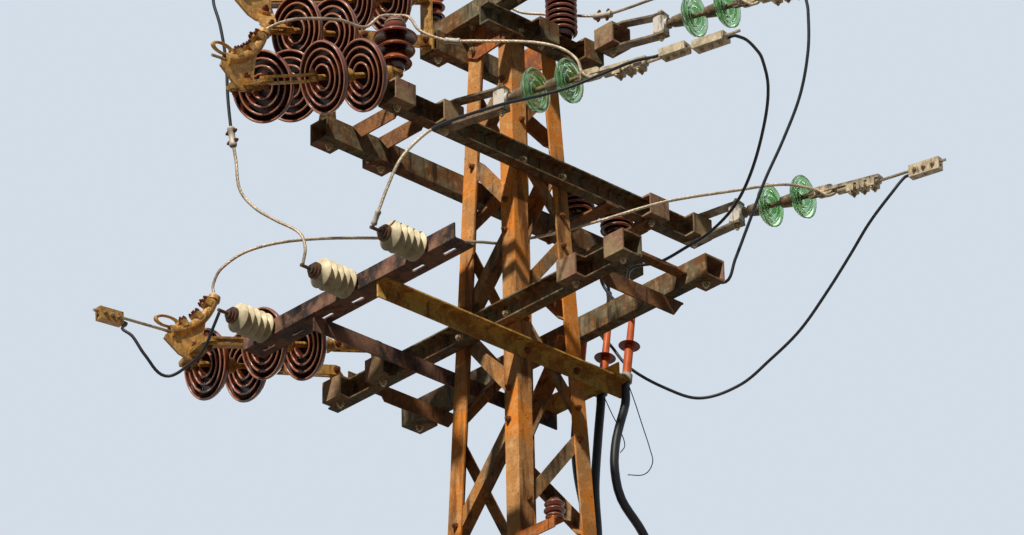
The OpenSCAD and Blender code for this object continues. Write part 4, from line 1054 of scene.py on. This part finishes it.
def jumpers():
    bare, black, sleeves = Shape(), Shape(), Shape()
    for curve, share in bolted_sleeves():
        crimp(sleeves, curve, share, *BOLTED_SLEEVE)
    for i in range(len(THROUGH_ROUTES)):
        curve = through_curve(i)
        tube(bare, curve, JUMPER_D / 2, strands=STRANDS)
        if i in THROUGH_SLEEVES:
            crimp(sleeves, curve, THROUGH_SLEEVES[i], *THROUGH_SLEEVE)
    for i, (connector, from_far, start, r, route, share) in enumerate(TAPS):
        curve = tap_curve(connector, from_far, start, r, route)
        if i in TAP_SLEEVES:
            crimp(sleeves, curve, TAP_SLEEVES[i], *TAP_SLEEVE)
        if share:
            cut = index_at(curve, share)
            tube(bare, smooth(curve[:cut + 1], BARE_STEP), JUMPER_D / 2, strands=STRANDS)
            curve = curve[cut:]
        tube(black, curve, JUMPER_D / 2)
    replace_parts(bare.piece("bare_jumpers", "wire", "conductor"), "jumpers")
    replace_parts(black.piece("black_jumpers", "insulated", "conductor"), "jumpers")
    sleeves.piece("wire_sleeves", "pale_sleeve", "conductor")


def on_leg(k, z):
    """A point of a cable on the outside of the right leg."""
    return Vector((half(z) - 0.02 - CABLE_PITCH * k, half(z) + CABLE_OFF, z))


def riser_cables():
    shape = Shape()
    straight = 0.3
    for k, drop in enumerate(RISER_JOIN):
        joined = LEG_H - drop
        down = [joined, joined - straight, (joined + PLINTH_H) / 2, PLINTH_H + straight, PLINTH_H + 0.001]
        route = [termination_point(k, -SEAT), termination_point(k, -COLLAR)] + from_top(RISER_ROUTES[k])
        tube(shape, smooth(route + [on_leg(k, z) for z in down], CABLE_STEP), CABLE_D / 2, CABLE_SIDES)
    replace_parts(shape.piece("riser_sheaths", "sheath", "cable_sheath"), "riser_cables")


# Thin earth leads from the cables' screens, which hang in loops beside the cables and end on them
EARTH_R = 0.0018
EARTH_LEADS = [
    [(178, 352, 1270), (196, 357, 1330), (222, 365, 1430), (246, 375, 1530), (250, 380, 1580),
     (215, 376, 1610), (188, 322, 1620)],
    [(60, 350, 1270), (90, 352, 1340), (130, 350, 1420), (170, 330, 1500), (180, 298, 1540)]]


def earth_leads():
    shape = Shape()
    for route in EARTH_LEADS:
        tube(shape, smooth(from_top(route), EARTH_STEP), EARTH_R, THIN_SIDES)
    shape.piece("earth_leads", "insulated", "conductor")


# Tie wires: the radius, the steps in a tie, and each step's turn and rise
TIE_R = 0.002
TIE_STEPS = 48
TIE_TURN = 0.35
TIE_RISE = 0.0002


def tie_wires():
    """Wire wound nearly three times round the groove of every post but the second."""
    shape = Shape()
    for p in POSTS[:1] + POSTS[2:]:
        groove = post_top(p) - HEAD_H + GROOVE_Z
        r = p[5] + 0.0022
        turns = []
        for k in range(TIE_STEPS):
            a = TIE_TURN * k
            turns.append(Vector((p[0].x + r * math.cos(a), p[0].y + r * math.sin(a), groove + TIE_RISE * k)))
        tube(shape, turns, TIE_R, THIN_SIDES)
    shape.piece("tie_wires", "wire", "conductor")


# Bolts: one tree sets a washer, a hexagon and a thread's end on each point. Sizes are against the tree's
WEB_BOLT = 0.9
SEAM_BOLT = 0.85
PLATE_BOLT = 0.8
PIN_BOLT = 0.75
BRACE_BOLT = 0.72
TIE_BOLT = 0.7
FOOT_BOLT = 0.6
CLAMP_BOLT = 0.5
CLAMP_NUT = 0.42
KEEPER_NUT = 0.48
GROOVE_BOLT = 0.55
GROOVE_NUT = 0.45


def bolt_tree():
    tree = bpy.data.node_groups.new("bolts", "GeometryNodeTree")
    face = tree.interface
    face.new_socket("Points", in_out="INPUT", socket_type="NodeSocketGeometry")
    sizes = {"Head Radius": 0.0139, "Head Height": 0.011, "Washer Radius": 0.0165, "Washer Thickness": 0.003,
             "Thread Radius": 0.008, "Thread Length": 0.009, "Spin Step": 0.77}
    for name, value in sizes.items():
        face.new_socket(name, in_out="INPUT", socket_type="NodeSocketFloat").default_value = value
    face.new_socket("Finish", in_out="INPUT", socket_type="NodeSocketMaterial")
    face.new_socket("Bolts", in_out="OUTPUT", socket_type="NodeSocketGeometry")
    start = tree.nodes.new("NodeGroupInput").outputs
    link = tree.links.new

    def node(kind, **settings):
        return new_node(tree, kind, **settings)

    def drum(sides, radius, height, foot):
        """A prism that stands on a height."""
        made = node("GeometryNodeMeshCylinder", fill_type="NGON")
        made.inputs["Vertices"].default_value = sides
        link(radius, made.inputs["Radius"])
        link(height, made.inputs["Depth"])
        rise = node("ShaderNodeCombineXYZ")
        link(reckoned(tree, "ADD", foot, reckoned(tree, "MULTIPLY", height, 0.5)), rise.inputs["Z"])
        moved = node("GeometryNodeTransform")
        link(made.outputs["Mesh"], moved.inputs["Geometry"])
        link(rise.outputs[0], moved.inputs["Translation"])
        return moved.outputs[0]

    washer_t = start["Washer Thickness"]
    head_top = reckoned(tree, "ADD", washer_t, start["Head Height"])
    joined = node("GeometryNodeJoinGeometry")
    for piece in (drum(12, start["Washer Radius"], washer_t, 0.0),
                  drum(6, start["Head Radius"], start["Head Height"], washer_t),
                  drum(8, start["Thread Radius"], start["Thread Length"], head_top)):
        link(piece, joined.inputs[0])

    facing = node("GeometryNodeInputNamedAttribute", data_type="FLOAT_VECTOR")
    facing.inputs["Name"].default_value = "facing"
    size = node("GeometryNodeInputNamedAttribute", data_type="FLOAT")
    size.inputs["Name"].default_value = "size"
    aligned = node("FunctionNodeAlignRotationToVector", axis="Z")
    link(facing.outputs["Attribute"], aligned.inputs["Vector"])
    spin = node("ShaderNodeCombineXYZ")
    index = node("GeometryNodeInputIndex").outputs[0]
    link(reckoned(tree, "MULTIPLY", index, start["Spin Step"]), spin.inputs["Z"])
    euler = node("FunctionNodeEulerToRotation")
    link(spin.outputs[0], euler.inputs[0])
    both = node("FunctionNodeRotateRotation", rotation_space="LOCAL")
    link(aligned.outputs[0], both.inputs["Rotation"])
    link(euler.outputs[0], both.inputs["Rotate By"])

    placed_bolts = node("GeometryNodeInstanceOnPoints")
    link(start["Points"], placed_bolts.inputs["Points"])
    link(joined.outputs[0], placed_bolts.inputs["Instance"])
    link(both.outputs[0], placed_bolts.inputs["Rotation"])
    link(size.outputs["Attribute"], placed_bolts.inputs["Scale"])
    real = node("GeometryNodeRealizeInstances")
    link(placed_bolts.outputs[0], real.inputs[0])
    finished = node("GeometryNodeSetMaterial")
    link(real.outputs[0], finished.inputs["Geometry"])
    link(start["Finish"], finished.inputs["Material"])
    link(finished.outputs[0], node("NodeGroupOutput").inputs[0])
    return tree


def bolts(tree, name, rows, finish):
    """One piece with a bolt for every row: its foot, the way it faces, and its size against the tree's."""
    mesh = bpy.data.meshes.new(name + "_points")
    mesh.from_pydata([row[0] for row in rows], [], [])
    facing = mesh.attributes.new("facing", "FLOAT_VECTOR", "POINT")
    facing.data.foreach_set("vector", [c for row in rows for c in row[1].normalized()])
    mesh.attributes.new("size", "FLOAT", "POINT").data.foreach_set("value", [row[2] for row in rows])
    points = new_object(name + "_points", mesh)
    modifier = points.modifiers.new("bolts", "NODES")
    modifier.node_group = tree
    for item in tree.interface.items_tree:
        if item.name == "Finish":
            modifier[item.identifier] = FINISHES[finish]
    seen = points.evaluated_get(bpy.context.evaluated_depsgraph_get())
    made = bpy.data.meshes.new_from_object(seen)
    made.name = name
    bpy.data.objects.remove(points)
    on_pole(name, made)


def on_face(turn):
    """One face of the body: X runs across it, Z up its slope, and Y inwards."""
    return (Matrix.Rotation(math.radians(turn), 4, "Z") @ Matrix.Translation((0, -half(0), 0))
            @ Matrix.Rotation(-LEAN, 4, "X"))


def brace_bolts():
    """A bolt through each end of every diagonal."""
    rows = []
    from_end = 0.02
    for turn in (0, 90, 180, 270):
        place = on_face(turn)
        facing = place.to_3x3() @ Vector((0, -1, 0))
        for i in range(BAYS):
            side = 1 if i % 2 == 0 else -1
            upper = Vector((side * (node_half(i) - BRACE_INSET), 0, node_z(i) / math.cos(LEAN) - BRACE_GAP))
            lower = Vector((-side * (node_half(i + 1) - BRACE_INSET), 0,
                            node_z(i + 1) / math.cos(LEAN) + BRACE_GAP))
            run = (lower - upper).normalized()
            for point in (upper + from_end * run, lower - from_end * run):
                rows.append((place @ point, facing, BRACE_BOLT))
    return rows


def arm_bolts():
    """Bolts through the arms' webs, the boxes' seams, the gussets and the top angle."""
    rows = []
    for x, z in ((MID_X, MID_Z), (TOP_X, TOP_Z)):
        leg = half(z) - LEG_W / 2
        for side in (-1, 1):
            for y in (-leg, leg):
                rows.append((Vector((side * (x + ARM_WEB), y, z)), Vector((side, 0, 0)), WEB_BOLT))
    for side, y, z in ((-1, LOW_FRONT_Y, LOW_FRONT_Z), (1, LOW_BACK_Y, LOW_BACK_Z)):
        leg = half(z) - LEG_W / 2
        for x in (-leg, leg):
            rows.append((Vector((x, side * (y + ARM_WEB), z)), Vector((0, side, 0)), WEB_BOLT))
    # The other two front boxes hold the straps, which have bolts of their own
    seams = [(MID_X + ARM_B, y + STUB_L / 2, MID_Z) for y in MID_FRONT_STUBS[::2]]
    seams += [(-MID_X - ARM_B, y + STUB_L / 2, MID_Z) for y in MID_BACK_STUBS]
    seams += [(x + STUB_L / 2, -LOW_FRONT_Y - ARM_B, LOW_FRONT_Z) for x in LOW_FRONT_STUBS]
    seams += [(x + STUB_L / 2, LOW_BACK_Y + ARM_B, LOW_BACK_Z) for x in LOW_BACK_STUBS]
    seams += [(-TOP_X - ARM_B, STUB_L / 2 - TOP_REACH, TOP_Z), (TOP_X + ARM_B, -0.005, TOP_Z)]
    rows += [(Vector(seam) + ARM_H / 2 * DOWN, DOWN, SEAM_BOLT) for seam in seams]
    for z, x in ((0.03, -0.085), (-0.005, -0.07), (0.045, 0.03), (0.01, 0.075)):
        for side in (-1, 1):
            foot = Vector((x, side * (GUSSET_Y + GUSSET_T), LEG_H + z))
            rows.append((foot, Vector((0, side, 0)), PLATE_BOLT))
    rows += [(top_angle_point(x, -0.035, 0), DOWN, PLATE_BOLT) for x in (-0.2, -0.05, 0.06, 0.2)]
    return rows


def tie_bolts():
    """Bolts on the ties' ends, under the posts' bars, at the arresters' feet and on the arms of the rail."""
    rows = []
    for side in (-1, 1):
        x = side * (LOW_REACH - 0.107) + 0.004
        for y in (-LOW_FRONT_Y - ARM_B / 2, LOW_BACK_Y - 0.02):
            rows.append((Vector((x, y, LOW_TOP + 0.005)), UP, TIE_BOLT))
    for y in POST_BAR_Y:
        for x in (-MID_X - ARM_B / 2, MID_X + ARM_B / 2):
            rows.append((Vector((x, y, MID_Z - ARM_H / 2 - 0.008)), DOWN, PLATE_BOLT))
    for x in ARRESTER_X:
        for side in (-1, 1):
            foot = Vector((x + side * 0.03, ARRESTER_Y, ARRESTER_Z - 0.025))
            rows.append((foot, Vector((0, -1, 0)), FOOT_BOLT))
    middle = half(RAIL_Z - RAIL_ARM_H) + SEAT + RAIL_ARM_B / 2
    web = middle - RAIL_ARM_B / 2 + 0.006
    for side in (-1, 1):
        rows += [(Vector((side * middle, y, RAIL_Z + 0.006)), UP, TIE_BOLT) for y in (-0.76, 0.305)]
        for y in (-0.115, 0.115):
            rows.append((Vector((side * web, y, RAIL_Z - 0.028)), Vector((side, 0, 0)), PLATE_BOLT))
    return rows


def pin_bolts():
    """A head and a nut on every pin of the left strings, and on the clamps' bolts."""
    rows = []
    for line, strings in STRINGS.items():
        normal = yoke_normal(strings)
        for i, s in enumerate(strings):
            level = level_across(s[1])
            pins = [(string_last(s), normal), (string_last(s) + s[3], normal)]
            if line != "middle" or i == 1:
                pins += [(0, level), (s[2] - CAP_LINK, level)]
            for distance, across in pins:
                for side in (-1, 1):
                    rows.append((string_at(s, distance) + side * LINK_OUT * across, side * across, PIN_BOLT))
        for side in (-1, 1):
            rows.append((yoke_hole(strings) + side * YOKE_OUT * normal, side * normal, SEAM_BOLT))
    return rows


def keeper_bolts():
    """Two rows of nuts over the keepers of the left clamps."""
    rows = []
    for g in LEFT_LINES:
        across = level_across(heading(g[1], 0))
        for turn in GUN_KEEPERS:
            for tilt in (-KEEPER_TILT, KEEPER_TILT):
                foot = gun_point(g, turn + tilt, GUN_R - KEEPER_H)
                out = foot - gun_point(g, turn + tilt, GUN_R)
                for side in (-KEEPER_OUT, KEEPER_OUT):
                    rows.append((foot + side * across, out, KEEPER_NUT))
    return rows


def right_bolts():
    """Bolts of the straps, the forks and the keepers of the right strings."""
    rows = []
    for g in RIGHT_LINES:
        for side in (-1, 1):
            rows.append((g[0] + side * (ARM_H / 2 + STRAP_T) * UP, side * UP, PLATE_BOLT))
            rows.append((spacer_at(g) + side * (SPACER_H / 2 + STRAP_T) * UP, side * UP, PLATE_BOLT))
            fork = spacer_at(g) + GLASS_BOLT * GLASS_WAY + side * 0.0145 * GLASS_SIDE
            rows.append((fork, side * GLASS_SIDE, PLATE_BOLT))
            for run in CLAMP_KEEPERS:
                foot = right_clamp_point(g, CLAMP_TROUGH + run) - 0.02 * GLASS_UP + side * 0.013 * GLASS_SIDE
                rows.append((foot, -GLASS_UP, CLAMP_BOLT))
                rows.append((foot + 0.028 * GLASS_UP, GLASS_UP, CLAMP_NUT))
    return rows


def connector_bolts():
    """Three bolts along each connector, square to its two wires."""
    rows = []
    for c in CONNECTORS:
        point_on, line, way, start, length, _ = c
        across = wires_apart(c)
        facing = way.cross(across)
        if facing.z > 0.1 or facing.y > 0.5:
            facing = -facing
        for share in (0.2, 0.5, 0.8):
            middle = point_on(line, start + share * length) + TAP_GAP / 2 * across
            rows.append((middle + CONNECTOR_OUT * facing, facing, GROOVE_BOLT))
            rows.append((middle - CONNECTOR_OUT * facing, -facing, GROOVE_NUT))
    return rows


def add_bolts():
    tree = bolt_tree()
    for name, rows, finish, slot in (
            ("brace_bolts", brace_bolts(), "rust_bolt", "rusted_bracing"),
            ("arm_bolts", arm_bolts(), "pale_bolt", "rusted_arm"),
            ("tie_bolts", tie_bolts(), "rust_bolt", "rusted_arm"),
            ("pin_bolts", pin_bolts(), "dark_bolt", "ochre_fittings"),
            ("keeper_bolts", keeper_bolts(), "dark_bolt", "ochre_fittings"),
            ("sleeve_bolts", sleeve_bolts(), "dark_bolt", "conductor"),
            ("strap_bolts", right_bolts(), "pale_bolt", "galvanised"),
            ("connector_bolts", connector_bolts(), "pale_bolt", "galvanised")):
        bolts(tree, name, rows, finish)


# Stage, lamps and camera
CAMERA_PLACE = Vector((11.169, -10.748, 1.6))
CAMERA_AIM = Vector((0, 0, 10))
CAMERA_LENS = 180.04
CAMERA_ROLL = math.radians(-1.2)
CAMERA_SHIFT = -0.0044
CAMERA_SENSOR = 36
CAMERA_RANGE = 400
FLOOR_REACH = 60
SKY = "d3dde8"
SKY_LIGHT = (0.8, 0.9, 1, 1)
SKY_STRENGTH = 0.08

# Lamps: the way of the light, its strength and colour, and its softness in degrees
LAMPS = {"key": ((-0.27, 0.66, -0.79), 4, (1, 0.93, 0.82), 2),
         "fill": ((0.5, -0.75, -0.35), 0.35, (0.9, 0.95, 1), 25)}


def add_camera():
    data = bpy.data.cameras.new("photo_view")
    data.lens = CAMERA_LENS
    data.sensor_width = CAMERA_SENSOR
    data.shift_x = CAMERA_SHIFT
    data.clip_end = CAMERA_RANGE
    camera = new_object("photo_view", data)
    camera.location = CAMERA_PLACE
    camera.rotation_mode = "QUATERNION"
    look = (CAMERA_AIM - CAMERA_PLACE).to_track_quat("-Z", "Y")
    camera.rotation_quaternion = look @ Quaternion((0, 0, 1), CAMERA_ROLL)
    bpy.context.scene.camera = camera


def add_floor():
    """A pale floor, which throws less light back on to the pole than it shows."""
    finish = Finish("pale_floor")
    tone = finish.over(paint("d9d7d2"), paint("d5d3ce"), finish.noise(6, 2, 0.4), 0.3, 0.7)
    finish.set(Base_Color=finish.blend(shown_share(finish.tree), paint("2b2a28"), tone), Roughness=0.9)
    mesh = bpy.data.meshes.new("floor")
    r = FLOOR_REACH
    mesh.from_pydata([(-r, -r, 0), (r, -r, 0), (r, r, 0), (-r, r, 0)], [], [(0, 1, 2, 3)])
    mesh.materials.append(finish.material)
    floor = new_object("floor", mesh)


def add_light():
    """A high key from the camera's left, a weak fill from behind, and a surround that lights little."""
    for name, (way, strength, tone, softness) in LAMPS.items():
        data = bpy.data.lights.new(name, "SUN")
        data.energy = strength
        data.color = tone
        data.angle = math.radians(softness)
        lamp = new_object(name, data)
        lamp.rotation_mode = "QUATERNION"
        lamp.rotation_quaternion = Vector(way).to_track_quat("-Z", "Y")
    world = bpy.data.worlds.new("surround")
    world.use_nodes = True
    bpy.context.scene.world = world
    tree = world.node_tree
    tree.nodes.clear()
    mixed = new_node(tree, "ShaderNodeMixShader")
    feed(tree, mixed.inputs[0], shown_share(tree))
    for socket, tone, strength in zip(mixed.inputs[1:], (SKY_LIGHT, paint(SKY)), (SKY_STRENGTH, 1)):
        backdrop = new_node(tree, "ShaderNodeBackground")
        backdrop.inputs["Color"].default_value = tone
        backdrop.inputs["Strength"].default_value = strength
        feed(tree, socket, backdrop.outputs[0])
    feed(tree, new_node(tree, "ShaderNodeOutputWorld").inputs["Surface"], mixed.outputs[0])


add_camera()
riser_cables()
jumpers()
earth_leads()
finish_frame()
brown_discs()
glass_discs()
post_insulators()
low_insulator()
arrester_housings()
clamp_eyes()
tie_wires()
add_bolts()
add_floor()
add_light()
bpy.context.scene.view_settings.view_transform = "Standard"
